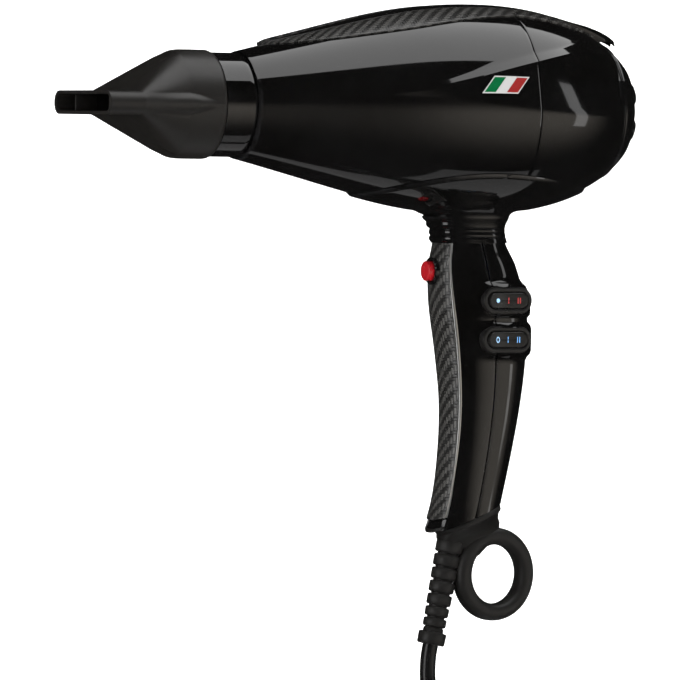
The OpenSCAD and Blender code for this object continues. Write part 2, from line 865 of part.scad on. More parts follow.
// ---- rocker switches, each hinged on upright trunnions
pivot_y = bezel_y + 3.4;
trunnion_r = 1.2;
module rocker_switch(z) {
  room_long = rocker_len + 2 * rocker_space;
  room_high = rocker_high + 2 * rocker_space;
  color([0.06, 0.06, 0.06])
    at_switch(z)
      difference() {
        union() {
          translate([-bezel_long / 2, bezel_y, -bezel_high / 2])
            cube([bezel_long, bezel_thick - 0.2, bezel_high]);
          translate([-housing_long / 2, bezel_y + 1, -housing_high / 2])
            cube([housing_long, housing_deep, housing_high]);
          for (side = [-1, 0, 1])
            translate([side * 7 - 2.4, bezel_y + housing_deep, -0.4])
              cube([4.8, 7, 0.8]);
        }
        translate([-room_long / 2, bezel_y - 1, -room_high / 2])
          cube([room_long, 10, room_high]);
        translate([0, pivot_y, -housing_high / 2 + 0.3])
          cylinder(h = housing_high - 0.6, r = trunnion_r + slip, $fn = round_fn);
      }
}
module rocker(z) {
  end = rocker_len / 2;
  color([0.08, 0.08, 0.08])
    at_switch(z)
      translate([0, pivot_y, 0]) {
        translate([0, 0, -rocker_high / 2])
          linear_extrude(height = rocker_high)
            polygon([
              [0.8 - end, -4.6], [0, -3.5], [end - 0.8, -4.6], [end - 0.4, -2],
              [6, 2.4], [-6, 2.4], [0.4 - end, -2]
            ]);
        translate([0, 0, 0.5 - housing_high / 2])
          cylinder(h = housing_high - 1, r = trunnion_r, $fn = round_fn);
      }
}
module heat_switch() {
  rocker_switch(heat_z);
}
module heat_rocker() {
  rocker(heat_z);
}
module speed_switch() {
  rocker_switch(speed_z);
}
module speed_rocker() {
  rocker(speed_z);
}

// ---- board and wiring on the far side of the handle
board_y = 6;
module circuit_board() {
  color([0.15, 0.4, 0.2])
    translate([0.3 - 12.4, board_y, 0])
      cube([24.8, 1.6, 26]);
}
module ion_module() {
  color([0.1, 0.1, 0.12])
    translate([-6, board_y - 7, 4])
      cube([13, 7, 17]);
}
// Points of a bend are rounded by the spline, and each wire is one swept tube
wire_r = 1;
wire_routes = [
  [
    [-6.9, 0, -15.3], [-7.5, 5, -11], [-7.5, 8.6, -4], [-7.5, 9.3, 12], [-6, 9.6, 34],
    [-8, 7.5, 60], [-10, 6, 84], [-12, 4, 104], [-19, 2, 113]
  ],
  [
    [-4.2, 0, -15.3], [-3, 5, -11], [-2, 8.6, -4], [-1, 9.4, 12], [0, 9.6, 34],
    [-2, 7.5, 60], [-4, 6, 84], [-3, 4, 98], [0, 2, 105.6]
  ],
  [[4, 3, 37], [3, 6.4, 46], [2, 7.5, 60], [-2, 6, 84], [-1, 2, 96], [6, 0, 105.6]],
  [[-3, 3, 54.8], [-5.4, 7, 64], [-7, 7, 78], [-8, 3, 92], [-15, -2, 104], [-22, -3, 113]]
];
module wires() {
  color([0.7, 0.7, 0.7])
    for (route = wire_routes)
      tube(smooth(route, 5), wire_r, 8);
}

// ---- screws that draw the rear half of the handle to the front half
screw_heights = [27, 76];
screw_r = 1.5;
screw_head_r = 2.8;
screw_boss_r = 3.3;
screw_seat_x = 4;
module screw_boss(x0, x1) {
  for (z = screw_heights)
    translate([0, 0, z])
      along_x(x0, x1, screw_boss_r);
}
module screw_bores(x0) {
  for (z = screw_heights)
    translate([0, 0, z]) {
      along_x(x0, 20, screw_r);
      along_x(screw_seat_x, 40, screw_head_r + 0.1);
    }
}
module handle_screws() {
  color([0.6, 0.6, 0.62])
    for (z = screw_heights)
      translate([0, 0, z]) {
        along_x(-11, screw_seat_x, screw_r);
        along_x(screw_seat_x, screw_seat_x + 2, screw_head_r);
      }
}

// ---- cord entry; its axis leans forward as it goes down
relief_top = [-11.5, 0, -46];
relief_lean = 11.4;
relief_len = 56.7;
module on_relief() {
  translate(relief_top)
    rotate([0, relief_lean, 0])
      children();
}
collar_deep = 9;
hub_r = 6;
loop_mid = [8.5, 0, -70];
relief_ribs = 8;
module at_loop() {
  translate(loop_mid)
    rotate([90, 0, loop_yaw])
      children();
}
// Rubber moulding: collar in the handle's mouth, hanging loop and ribbed strain relief
module cord_boot() {
  land_r = loop_r - loop_d / 2 + 0.3;
  rib_pitch = 4.6;
  web_r = loop_d / 2 - 0.5;
  color([0.05, 0.05, 0.05])
    difference() {
      union() {
        at_bottom() {
          translate([-1, 0, -collar_deep])
            linear_extrude(height = collar_deep - 0.1)
              polygon(ellipse(grip_depth - 3.2, grip_width - 2.4));
          linear_extrude(height = 5)
            polygon(ellipse(grip_depth - 5.4, grip_width - 4.4));
        }
        at_loop()
          rotate_extrude($fn = 96)
            translate([loop_r, 0])
              circle(d = loop_d, $fn = 32);
        hull() {
          translate([2, 0, -47])
            sphere(r = 6, $fn = 24);
          at_loop()
            translate([-loop_r * cos(45), loop_r * sin(45), 0])
              sphere(r = web_r, $fn = 24);
        }
        on_relief() {
          translate([0, 0, -relief_len])
            cylinder(h = relief_len, r1 = 5, r2 = hub_r, $fn = round_fn);
          for (i = [0:relief_ribs - 1])
            translate([0, 0, -18 - i * rib_pitch])
              cylinder(h = 2.8, r = 6.2, $fn = round_fn);
          translate([0, 0, -relief_len])
            cylinder(h = 2.4, r = 6.4, $fn = round_fn);
        }
      }
      at_loop()
        translate([0, 0, -10])
          cylinder(h = 20, r = land_r, $fn = 96);
      on_relief()
        translate([0, 0, -relief_len - 1])
          cylinder(h = relief_len + 20, r = cord_d / 2, $fn = round_fn);
    }
}
inner_end = 30;
module inner_cord() {
  color([0.06, 0.06, 0.06])
    on_relief()
      translate([0, 0, -relief_len])
        cylinder(h = relief_len + inner_end, r = cord_d / 2 - 0.02, $fn = round_fn);
}
clamp_z = 14;
clamp_half = 8;
clamp_bar = 5;
clamp_screw_y = 6;
module cord_clamp() {
  color([0.15, 0.15, 0.15])
    on_relief()
      for (side = [-1, 1])
        difference() {
          translate([side > 0 ? 0.4 : -0.4 - clamp_bar, -clamp_half, clamp_z])
            cube([clamp_bar, 2 * clamp_half, 8]);
          translate([0, 0, clamp_z - 1])
            cylinder(h = 10, r = cord_d / 2, $fn = round_fn);
          clamp_bores();
        }
}
module clamp_bores() {
  for (side = [-1, 1])
    translate([-7, side * clamp_screw_y, clamp_z + 4])
      rotate([0, 90, 0])
        cylinder(h = 14, r = 1.2, $fn = 32);
}
module clamp_screws() {
  color([0.7, 0.7, 0.7])
    on_relief()
      for (side = [-1, 1])
        translate([0, side * clamp_screw_y, clamp_z + 4]) {
          along_x(-0.4 - clamp_bar, 6, 1.2);
          along_x(-1.8 - clamp_bar, -0.4 - clamp_bar, 1.8);
        }
}

// ---- mains cord: down from the strain relief, then wound in a hanging coil, with its plug beside it
function smooth(points, parts) = concat(
  [
    for (i = [0:len(points) - 2], k = [0:parts - 1])
      spline(
        points[max(i - 1, 0)], points[i], points[i + 1],
        points[min(i + 2, len(points) - 1)], k / parts
      )
  ],
  [points[len(points) - 1]]
);
function unit(v) = v / norm(v);
function heading(path, i) = unit(path[min(i + 1, len(path) - 1)] - path[max(i - 1, 0)]);
// Side directions carried along a path without twist
function carried(v, along) = unit(v - (v * along) * along);
function sides_of(path, i, v) = i == len(path)
  ? []
  : let (s = carried(v, heading(path, i))) concat([s], sides_of(path, i + 1, s));
module tube(path, r, corners) {
  across = sides_of(path, 0, abs(heading(path, 0)[1]) > 0.8 ? [1, 0, 0] : [0, 1, 0]);
  rings = [
    for (i = [0:len(path) - 1])
      let (u = across[i], v = cross(heading(path, i), u))
        [
          for (k = [0:corners - 1])
            let (a = 360 * k / corners)
              path[i] + r * (u * cos(a) + v * sin(a))
        ]
  ];
  loft(rings);
}
cord_lead = [
  [-22.7, 0, -101.6], [-23.6, 0, -107], [-24, -0.2, -113], [-24, -0.8, -118.5], [-23, -2.6, -126.2],
  [-20, -5.2, -134], [-15.3, -7.9, -140.7], [-9, -9.9, -146.2], [-1.5, -10.9, -149.4]
];
cord_tail = [[28.3, 10.9, -192], [28.7, 10.8, -199], [30, 10.4, -206], [31.3, 10.1, -213], [31.5, 10, -220]];
plug_top = cord_tail[len(cord_tail) - 1];
coil_mid = [-17, 0, -192];
coil_columns = 4;
coil_layers = 3;
module cord() {
  color([0.04, 0.04, 0.04]) {
    tube(smooth(cord_lead, 3), cord_d / 2, 10);
    tube(smooth(cord_tail, 3), cord_d / 2, 10);
  }
}
module cord_coil() {
  half_wide = coil_columns * cord_d / 2;
  half_deep = coil_layers * cord_d / 2;
  cut = cord_d / 3;
  color([0.05, 0.05, 0.05])
    translate(coil_mid)
      rotate([90, 0, 0])
        rotate_extrude($fn = 96)
          translate([coil_mid_r, 0])
            polygon([
              [-half_deep, cut - half_wide], [cut - half_deep, -half_wide],
              [half_deep - cut, -half_wide], [half_deep, cut - half_wide],
              [half_deep, half_wide - cut], [half_deep - cut, half_wide],
              [cut - half_deep, half_wide], [-half_deep, half_wide - cut]
            ]);
}
module cord_tie() {
  tie_wide = 10;
  tie_thick = 1.2;
  tie_turn = -32;
  slack = 0.5;
  half_wide = coil_columns * cord_d / 2 + slack;
  low = coil_mid_r - coil_layers * cord_d / 2 - slack;
  high = coil_mid_r + coil_layers * cord_d / 2 + slack / 5;
  color([0.08, 0.08, 0.08])
    translate(coil_mid)
      rotate([0, tie_turn, 0])
        difference() {
          translate([-tie_wide / 2, -half_wide - tie_thick, low - tie_thick])
            cube([tie_wide, 2 * (half_wide + tie_thick), high - low + 2 * tie_thick]);
          translate([-tie_wide / 2 - 1, -half_wide, low])
            cube([tie_wide + 2, 2 * half_wide, high - low]);
        }
}

// ---- plug: a flexible neck, a flattened round body and two round pins
plug_neck = 19;
plug_deep = 26;
plug_half = [13, 18.5];
pin_r = 2.4;
pin_pitch = 19;
pin_len = 19;
module at_plug() {
  translate(plug_top)
    children();
}
module plug_body() {
  flange = 5;
  color([0.05, 0.05, 0.05])
    at_plug()
      difference() {
        union() {
          translate([0, 0, -plug_neck])
            cylinder(h = plug_neck, r1 = 6.5, r2 = 4.6, $fn = 48);
          translate([0, 0, -plug_neck - plug_deep + flange])
            linear_extrude(height = plug_deep - flange)
              polygon(ellipse(plug_half[0] - 1.5, plug_half[1] - 3));
          translate([0, 0, -plug_neck - plug_deep])
            linear_extrude(height = flange)
              polygon(ellipse(plug_half[0], plug_half[1]));
        }
        pins();
      }
}
module pins() {
  root = 8;
  face = -plug_neck - plug_deep;
  for (side = [-1, 1])
    translate([0, side * pin_pitch / 2, face - pin_len]) {
      cylinder(h = 1, r1 = pin_r - 0.9, r2 = pin_r, $fn = 48);
      translate([0, 0, 1])
        cylinder(h = pin_len - 1, r = pin_r, $fn = 48);
      translate([0, 0, pin_len - eps])
        cylinder(h = root + eps, r = pin_r - 0.5, $fn = 48);
    }
}
module plug_pins() {
  color([0.8, 0.8, 0.8])
    at_plug()
      pins();
}

front_shell();
rear_shell();
neck();
handle_front();
handle_rear();
front_spine();
rear_spine();
front_inlay_near();
front_inlay_far();
rear_inlay_near();
rear_inlay_far();
grip_inlay();
grip_trims();
outlet_collar();
outlet_grille();
ion_needle();
snap_ring();
nozzle();
filter_cover();
filter_mesh();
mica_sleeve();
mica_board_upright();
mica_board_level();
heating_coils();
thermostat();
thermal_fuse();
fan_duct();
fan();
stator();
field_coils();
armature();
commutator();
motor_shaft();
front_bracket();
rear_bracket();
bearings();
carbon_brushes();
button_bezel();
cold_button();
button_spring();
micro_switch();
heat_switch();
heat_rocker();
speed_switch();
speed_rocker();
circuit_board();
ion_module();
wires();
handle_screws();
cord_clamp();
clamp_screws();
inner_cord();
cord_boot();
cord();
cord_coil();
cord_tie();
plug_body();
plug_pins();
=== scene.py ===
import json
import math

import bpy
from mathutils import Matrix, Vector


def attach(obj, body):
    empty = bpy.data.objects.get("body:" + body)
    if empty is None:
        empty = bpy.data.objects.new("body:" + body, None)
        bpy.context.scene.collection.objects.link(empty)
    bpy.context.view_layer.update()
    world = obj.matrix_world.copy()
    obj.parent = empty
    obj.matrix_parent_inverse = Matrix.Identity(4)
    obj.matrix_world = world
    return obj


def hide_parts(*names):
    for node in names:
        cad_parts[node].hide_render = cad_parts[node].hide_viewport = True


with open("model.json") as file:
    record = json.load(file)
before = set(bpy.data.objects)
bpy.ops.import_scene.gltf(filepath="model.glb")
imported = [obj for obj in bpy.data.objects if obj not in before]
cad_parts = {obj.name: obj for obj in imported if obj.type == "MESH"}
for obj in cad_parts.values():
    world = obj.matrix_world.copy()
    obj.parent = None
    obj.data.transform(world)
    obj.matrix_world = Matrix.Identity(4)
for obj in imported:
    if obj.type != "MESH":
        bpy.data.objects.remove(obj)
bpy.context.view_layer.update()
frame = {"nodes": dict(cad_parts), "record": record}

mm = 0.001


# ---------- small tools, used by every piece ----------
def freeAll():
    if bpy.context.object and bpy.context.object.mode != "OBJECT":
        bpy.ops.object.mode_set(mode="OBJECT")
    bpy.ops.object.select_all(action="DESELECT")


def pick(piece):
    freeAll()
    piece.select_set(True)
    bpy.context.view_layer.objects.active = piece


def named(name):
    piece = bpy.context.object
    piece.name = name
    piece.data.name = name
    return piece


def settle(piece):
    # place, turn and scale go into the mesh
    pick(piece)
    bpy.ops.object.transform_apply(location=True, rotation=True, scale=True)


def cleanUp(piece, merge=0.00002):
    pick(piece)
    bpy.ops.object.mode_set(mode="EDIT")
    bpy.ops.mesh.select_all(action="SELECT")
    bpy.ops.mesh.remove_doubles(threshold=merge)
    bpy.ops.mesh.normals_make_consistent(inside=False)
    bpy.ops.object.mode_set(mode="OBJECT")


def useModifier(piece, kind, **values):
    pick(piece)
    modifier = piece.modifiers.new(kind, kind)
    for key, value in values.items():
        setattr(modifier, key, value)
    bpy.ops.object.modifier_apply(modifier=modifier.name)


def soften(piece, width=0.3, segments=2, angle=38):
    useModifier(piece, "BEVEL", width=width * mm, segments=segments, limit_method="ANGLE",
                angle_limit=math.radians(angle), harden_normals=False)


def shade(piece, angle=32):
    pick(piece)
    bpy.ops.object.shade_smooth_by_angle(angle=math.radians(angle))


def gridOf(name, rows, cols, place):
    # a grid primitive whose vertices are set out row by row, in millimetres
    freeAll()
    bpy.ops.mesh.primitive_grid_add(x_subdivisions=cols - 1, y_subdivisions=rows - 1, size=2)
    piece = named(name)
    for vertex in piece.data.vertices:
        vertex.co = Vector(place(vertex.index // cols, vertex.index % cols)) * mm
    return piece


def lathe(name, profile, centre=(0, 0, 0), steps=96, angle=360):
    # one vertex is extruded along (x, radius) points and spun about the X axis through centre
    freeAll()
    bpy.ops.mesh.primitive_plane_add(size=0.001)
    piece = named(name)
    bpy.ops.object.mode_set(mode="EDIT")
    bpy.ops.mesh.select_all(action="SELECT")
    bpy.ops.mesh.merge(type="CENTER")
    spot = Vector((0, 0, 0))
    for count, (x, radius) in enumerate(profile):
        nextSpot = Vector((centre[0] + x, centre[1], centre[2] + radius)) * mm
        if count == 0:
            bpy.ops.transform.translate(value=nextSpot - spot)
        else:
            bpy.ops.mesh.extrude_vertices_move(TRANSFORM_OT_translate={"value": nextSpot - spot})
        spot = nextSpot
    bpy.ops.mesh.select_all(action="SELECT")
    bpy.ops.mesh.spin(steps=steps, angle=math.radians(angle), center=Vector(centre) * mm, axis=(1, 0, 0))
    bpy.ops.object.mode_set(mode="OBJECT")
    cleanUp(piece)
    return piece


def joinAll(name, parts):
    freeAll()
    for part in parts:
        part.select_set(True)
    bpy.context.view_layer.objects.active = parts[0]
    bpy.ops.object.join()
    return named(name)


def cutWith(piece, cutter, operation="DIFFERENCE"):
    useModifier(piece, "BOOLEAN", object=cutter, operation=operation, solver="EXACT")
    bpy.data.objects.remove(cutter)


def boxOf(name, low, high):
    freeAll()
    middle = (Vector(low) + Vector(high)) / 2 * mm
    bpy.ops.mesh.primitive_cube_add(size=1, location=middle, scale=(Vector(high) - Vector(low)) * mm)
    piece = named(name)
    settle(piece)
    return piece


def along(table, x):
    # smooth reading of a table of (x, value)
    if x <= table[0][0]:
        return table[0][1]
    for i in range(len(table) - 1):
        (x0, y0), (x1, y1) = table[i], table[i + 1]
        if x <= x1:
            before = table[i - 1] if i else (2 * x0 - x1, 2 * y0 - y1)
            after = table[i + 2] if i + 2 < len(table) else (2 * x1 - x0, 2 * y1 - y0)
            slope0 = (y1 - before[1]) / (x1 - before[0]) * (x1 - x0)
            slope1 = (after[1] - y0) / (after[0] - x0) * (x1 - x0)
            t = (x - x0) / (x1 - x0)
            return (y0 * (1 + 2 * t) * (1 - t) ** 2 + slope0 * t * (1 - t) ** 2
                    + y1 * t * t * (3 - 2 * t) + slope1 * t * t * (t - 1))
    return table[-1][1]


def ease(value):
    t = max(0.0, min(1.0, value))
    return t * t * (3 - 2 * t)


def mix(a, b, t):
    return a + (b - a) * t


def stadium(halfLong, halfHigh, count):
    # outline with round ends and points along its straight sides
    points = []
    half, straight = count // 4, count // 4
    core = halfLong - halfHigh
    for side in (1, -1):
        for i in range(half):
            turn = math.radians(-90 + 180 * i / (half - 1))
            points.append((side * (core + halfHigh * math.cos(turn)), side * halfHigh * math.sin(turn)))
        for i in range(1, straight + 1):
            points.append((side * core * (1 - 2 * i / (straight + 1)), side * halfHigh))
    return points


# ---------- camera ----------
camera = {
    "azimuth": -25.8, "elevation": 1.4, "roll": -0.9, "lens": 400, "target": (-70.6, 0, 36.2),
    "viewWide": 306.0,
}


def placeCamera(s):
    freeAll()
    bpy.ops.object.camera_add()
    shot = bpy.context.object
    shot.name = "productCamera"
    shot.data.lens = s["lens"]
    shot.data.sensor_width = 36
    turn, rise = math.radians(s["azimuth"]), math.radians(s["elevation"])
    back = Vector((math.sin(turn) * math.cos(rise), -math.cos(turn) * math.cos(rise), math.sin(rise)))
    distance = s["viewWide"] / 2 / math.tan(math.atan(18 / s["lens"]))
    shot.location = (Vector(s["target"]) + back * distance) * mm
    facing = (-back).to_track_quat("-Z", "Y").to_matrix()
    shot.rotation_euler = (facing @ Matrix.Rotation(math.radians(-s["roll"]), 3, "Z")).to_euler()
    shot.data.clip_start, shot.data.clip_end = 0.01, 100
    bpy.context.scene.camera = shot


placeCamera(camera)
print("camera placed")

# ---------- materials ----------
def addGroup(name, inputs, outputs):
    group = bpy.data.node_groups.new(name, "ShaderNodeTree")
    for label, value in inputs.items():
        kind = "NodeSocketFloat" if isinstance(value, (int, float)) else "NodeSocketVector"
        socket = group.interface.new_socket(label, in_out="INPUT", socket_type=kind)
        if kind == "NodeSocketFloat":
            socket.default_value = value
    for label in outputs:
        group.interface.new_socket(label, in_out="OUTPUT", socket_type="NodeSocketFloat")
    entry = group.nodes.new("NodeGroupInput")
    leave = group.nodes.new("NodeGroupOutput")
    return group, entry, leave


def addNode(tree, kind, link=None, **values):
    node = tree.nodes.new(kind)
    for key, value in values.items():
        if key in node.inputs:
            node.inputs[key].default_value = value
        else:
            setattr(node, key, value)
    for socket, source in (link or {}).items():
        tree.links.new(source, node.inputs[socket])
    return node


def addMath(tree, operation, a, b=None, clamp=False):
    node = tree.nodes.new("ShaderNodeMath")
    node.operation = operation
    node.use_clamp = clamp
    for index, value in enumerate((a, b)):
        if value is None:
            continue
        if isinstance(value, (int, float)):
            node.inputs[index].default_value = value
        else:
            tree.links.new(value, node.inputs[index])
    return node.outputs[0]


def makeGrainGroup():
    # fine moulded grain and a soft cloudy film
    group, entry, leave = addGroup("mouldedGrain", {"Place": (0, 0, 0), "Grain Scale": 2600.0, "Film Scale": 24.0},
                                   ["Grain", "Film"])
    grain = addNode(group, "ShaderNodeTexNoise", {"Vector": entry.outputs["Place"], "Scale": entry.outputs["Grain Scale"]},
                    Detail=3.0, Roughness=0.6)
    film = addNode(group, "ShaderNodeTexNoise", {"Vector": entry.outputs["Place"], "Scale": entry.outputs["Film Scale"]},
                   Detail=5.0, Roughness=0.65, Distortion=0.6)
    sharper = addNode(group, "ShaderNodeMapRange", {"Value": film.outputs[0]})
    sharper.inputs["From Min"].default_value = 0.35
    sharper.inputs["From Max"].default_value = 0.7
    group.links.new(grain.outputs[0], leave.inputs["Grain"])
    group.links.new(sharper.outputs[0], leave.inputs["Film"])
    return group


def makeWearGroup():
    # lighter worn edges, broken up by noise
    group, entry, leave = addGroup("edgeWear", {"Place": (0, 0, 0), "Spread": 0.06, "Break Up": 90.0}, ["Wear"])
    shape = group.nodes.new("ShaderNodeNewGeometry")
    noise = addNode(group, "ShaderNodeTexNoise", {"Vector": entry.outputs["Place"], "Scale": entry.outputs["Break Up"]},
                    Detail=6.0, Roughness=0.7)
    start = addMath(group, "SUBTRACT", shape.outputs["Pointiness"], 0.53)
    spread = addMath(group, "DIVIDE", start, entry.outputs["Spread"], clamp=True)
    broken = addMath(group, "SUBTRACT", noise.outputs[0], 0.4, clamp=True)
    wear = addMath(group, "MULTIPLY", spread, addMath(group, "MULTIPLY", broken, 2.5, clamp=True), clamp=True)
    group.links.new(wear, leave.inputs["Wear"])
    return group


def makeTwillGroup():
    # two-by-two twill on a plane: Place X across, Place Y along, in metres
    group, entry, leave = addGroup("twillWeave", {"Place": (0, 0, 0), "Thread": 0.0016}, ["Height", "SheenAndShade"])
    split = addNode(group, "ShaderNodeSeparateXYZ", {"Vector": entry.outputs["Place"]})
    across = addMath(group, "DIVIDE", split.outputs[0], entry.outputs["Thread"])
    upward = addMath(group, "DIVIDE", split.outputs[1], entry.outputs["Thread"])
    cellX, cellY = addMath(group, "FLOOR", across), addMath(group, "FLOOR", upward)
    inX, inY = addMath(group, "FRACT", across), addMath(group, "FRACT", upward)
    phase = addMath(group, "FLOORED_MODULO", addMath(group, "ADD", cellX, cellY), 4.0)
    over = addMath(group, "LESS_THAN", phase, 1.5)
    roundX = addMath(group, "SINE", addMath(group, "MULTIPLY", inX, math.pi))
    roundY = addMath(group, "SINE", addMath(group, "MULTIPLY", inY, math.pi))
    warp = addMath(group, "MULTIPLY", addMath(group, "POWER", roundX, 0.5), over)
    weft = addMath(group, "MULTIPLY", addMath(group, "POWER", roundY, 0.5), addMath(group, "SUBTRACT", 1.0, over))
    height = addMath(group, "ADD", warp, weft)
    fibres = addNode(group, "ShaderNodeTexNoise", {"Vector": entry.outputs["Place"]}, Scale=2200.0, Detail=2.0)
    # painted sheen and shade: threads lying on top are lighter, each thread is lighter on its crown and darker at its
    # edges, with painted shade between the threads
    shine = addMath(group, "ADD", addMath(group, "MULTIPLY", over, 0.55),
                    addMath(group, "MULTIPLY", fibres.outputs[0], 0.35))
    tone = addMath(group, "MULTIPLY", shine, height, clamp=True)
    group.links.new(height, leave.inputs["Height"])
    group.links.new(tone, leave.inputs["SheenAndShade"])
    return group


grainGroup, wearGroup, twillGroup = makeGrainGroup(), makeWearGroup(), makeTwillGroup()

finishes = {
    # colour, worn colour, roughness low and high, metal, coat, grain depth in mm, grain scale
    "glossBlack": dict(colour=(0.0016, 0.0015, 0.0014), worn=(0.03, 0.03, 0.032), rough=(0.045, 0.085), coat=0.6, grain=0.0004),
    "spineBlack": dict(colour=(0.0014, 0.0013, 0.0012), worn=(0.03, 0.03, 0.032), rough=(0.06, 0.11), coat=0.4, grain=0.0004),
    "satinBlack": dict(colour=(0.0085, 0.0076, 0.0068), worn=(0.035, 0.032, 0.03), rough=(0.36, 0.46), grain=0.012),
    "switchSatin": dict(colour=(0.005, 0.0048, 0.0046), worn=(0.05, 0.048, 0.046), rough=(0.27, 0.36), grain=0.006),
    "redGloss": dict(colour=(0.27, 0.004, 0.008), worn=(0.5, 0.06, 0.06), rough=(0.12, 0.2), coat=0.5, grain=0.001),
    "brightTrim": dict(colour=(0.82, 0.82, 0.8), worn=(0.95, 0.95, 0.95), rough=(0.3, 0.4), metal=1, grain=0.001),
    "rubberBlack": dict(colour=(0.0065, 0.006, 0.0055), worn=(0.03, 0.028, 0.026), rough=(0.4, 0.52), grain=0.02, grainScale=1500),
    "cordSheath": dict(colour=(0.003, 0.003, 0.003), worn=(0.03, 0.03, 0.03), rough=(0.2, 0.3), grain=0.006, grainScale=900),
    "tieBlack": dict(colour=(0.02, 0.02, 0.021), worn=(0.08, 0.08, 0.08), rough=(0.75, 0.9), grain=0.08, grainScale=1400),
    "steelBright": dict(colour=(0.55, 0.55, 0.57), worn=(0.8, 0.8, 0.8), rough=(0.2, 0.38), metal=1, grain=0.004),
    "lamination": dict(colour=(0.32, 0.32, 0.34), worn=(0.55, 0.55, 0.55), rough=(0.35, 0.55), metal=1, grain=0.02),
    "micaSheet": dict(colour=(0.62, 0.55, 0.40), worn=(0.8, 0.75, 0.62), rough=(0.3, 0.5), grain=0.03, grainScale=500),
    "nichromeWire": dict(colour=(0.30, 0.26, 0.22), worn=(0.5, 0.46, 0.42), rough=(0.35, 0.6), metal=1, grain=0.01),
    "brassPlain": dict(colour=(0.62, 0.45, 0.18), worn=(0.85, 0.7, 0.4), rough=(0.22, 0.4), metal=1, grain=0.004),
    "copperWire": dict(colour=(0.58, 0.22, 0.09), worn=(0.85, 0.45, 0.25), rough=(0.2, 0.35), metal=1, grain=0.02, grainScale=1200),
    "ductPlastic": dict(colour=(0.045, 0.045, 0.05), worn=(0.14, 0.14, 0.15), rough=(0.45, 0.6), grain=0.02),
    "fanPlastic": dict(colour=(0.55, 0.54, 0.5), worn=(0.75, 0.74, 0.7), rough=(0.35, 0.5), grain=0.01),
    "carbonBlock": dict(colour=(0.02, 0.02, 0.02), worn=(0.1, 0.1, 0.1), rough=(0.5, 0.7), grain=0.02),
    "bluePlastic": dict(colour=(0.02, 0.035, 0.12), worn=(0.1, 0.12, 0.3), rough=(0.35, 0.5), grain=0.01),
    "boardGreen": dict(colour=(0.012, 0.09, 0.03), worn=(0.1, 0.25, 0.12), rough=(0.25, 0.4), coat=0.3, grain=0.01),
    "wireGrey": dict(colour=(0.35, 0.35, 0.36), worn=(0.55, 0.55, 0.55), rough=(0.4, 0.55), grain=0.01),
    "pinNickel": dict(colour=(0.66, 0.64, 0.60), worn=(0.9, 0.88, 0.85), rough=(0.12, 0.25), metal=1, grain=0.002),
    "markBlue": dict(colour=(0.12, 0.36, 0.75), worn=(0.3, 0.5, 0.8), rough=(0.35, 0.5), grain=0.002),
    "markPale": dict(colour=(0.30, 0.55, 0.85), worn=(0.5, 0.7, 0.9), rough=(0.35, 0.5), grain=0.002),
    "markRed": dict(colour=(0.42, 0.02, 0.02), worn=(0.5, 0.1, 0.1), rough=(0.35, 0.5), grain=0.002),
    "badgeGreen": dict(colour=(0.0, 0.085, 0.024), worn=(0.03, 0.13, 0.05), rough=(0.12, 0.2), coat=0.6, grain=0.001),
    "badgeWhite": dict(colour=(0.38, 0.38, 0.37), worn=(0.5, 0.5, 0.5), rough=(0.12, 0.2), coat=0.6, grain=0.001),
    "badgeRed": dict(colour=(0.20, 0.013, 0.012), worn=(0.3, 0.04, 0.04), rough=(0.12, 0.2), coat=0.6, grain=0.001),
}


def makeFinish(name, s):
    material = bpy.data.materials.new(name)
    material.use_nodes = True
    tree = material.node_tree
    shader = tree.nodes["Principled BSDF"]
    place = tree.nodes.new("ShaderNodeTexCoord")
    grain = addNode(tree, "ShaderNodeGroup", node_tree=grainGroup)
    grain.inputs["Grain Scale"].default_value = s.get("grainScale", 2600)
    tree.links.new(place.outputs["Object"], grain.inputs["Place"])
    wear = addNode(tree, "ShaderNodeGroup", node_tree=wearGroup)
    tree.links.new(place.outputs["Object"], wear.inputs["Place"])
    colour = addNode(tree, "ShaderNodeMix", data_type="RGBA")
    colour.inputs["A"].default_value = (0, 0, 0, 1)
    colour.inputs[6].default_value = (*s["colour"], 1)
    colour.inputs[7].default_value = (*s["worn"], 1)
    share = addMath(tree, "ADD", addMath(tree, "MULTIPLY", wear.outputs["Wear"], 0.35),
                    addMath(tree, "MULTIPLY", grain.outputs["Film"], 0.05), clamp=True)
    tree.links.new(share, colour.inputs[0])
    tree.links.new(colour.outputs[2], shader.inputs["Base Color"])
    rough = addNode(tree, "ShaderNodeMapRange", {"Value": grain.outputs["Film"]})
    rough.inputs["To Min"].default_value, rough.inputs["To Max"].default_value = s["rough"]
    tree.links.new(rough.outputs[0], shader.inputs["Roughness"])
    bump = addNode(tree, "ShaderNodeBump", {"Height": grain.outputs["Grain"]}, Strength=1.0)
    bump.inputs["Distance"].default_value = s["grain"] * mm
    tree.links.new(bump.outputs[0], shader.inputs["Normal"])
    shader.inputs["Metallic"].default_value = s.get("metal", 0)
    shader.inputs["Coat Weight"].default_value = s.get("coat", 0)
    shader.inputs["Coat Roughness"].default_value = 0.03
    return material


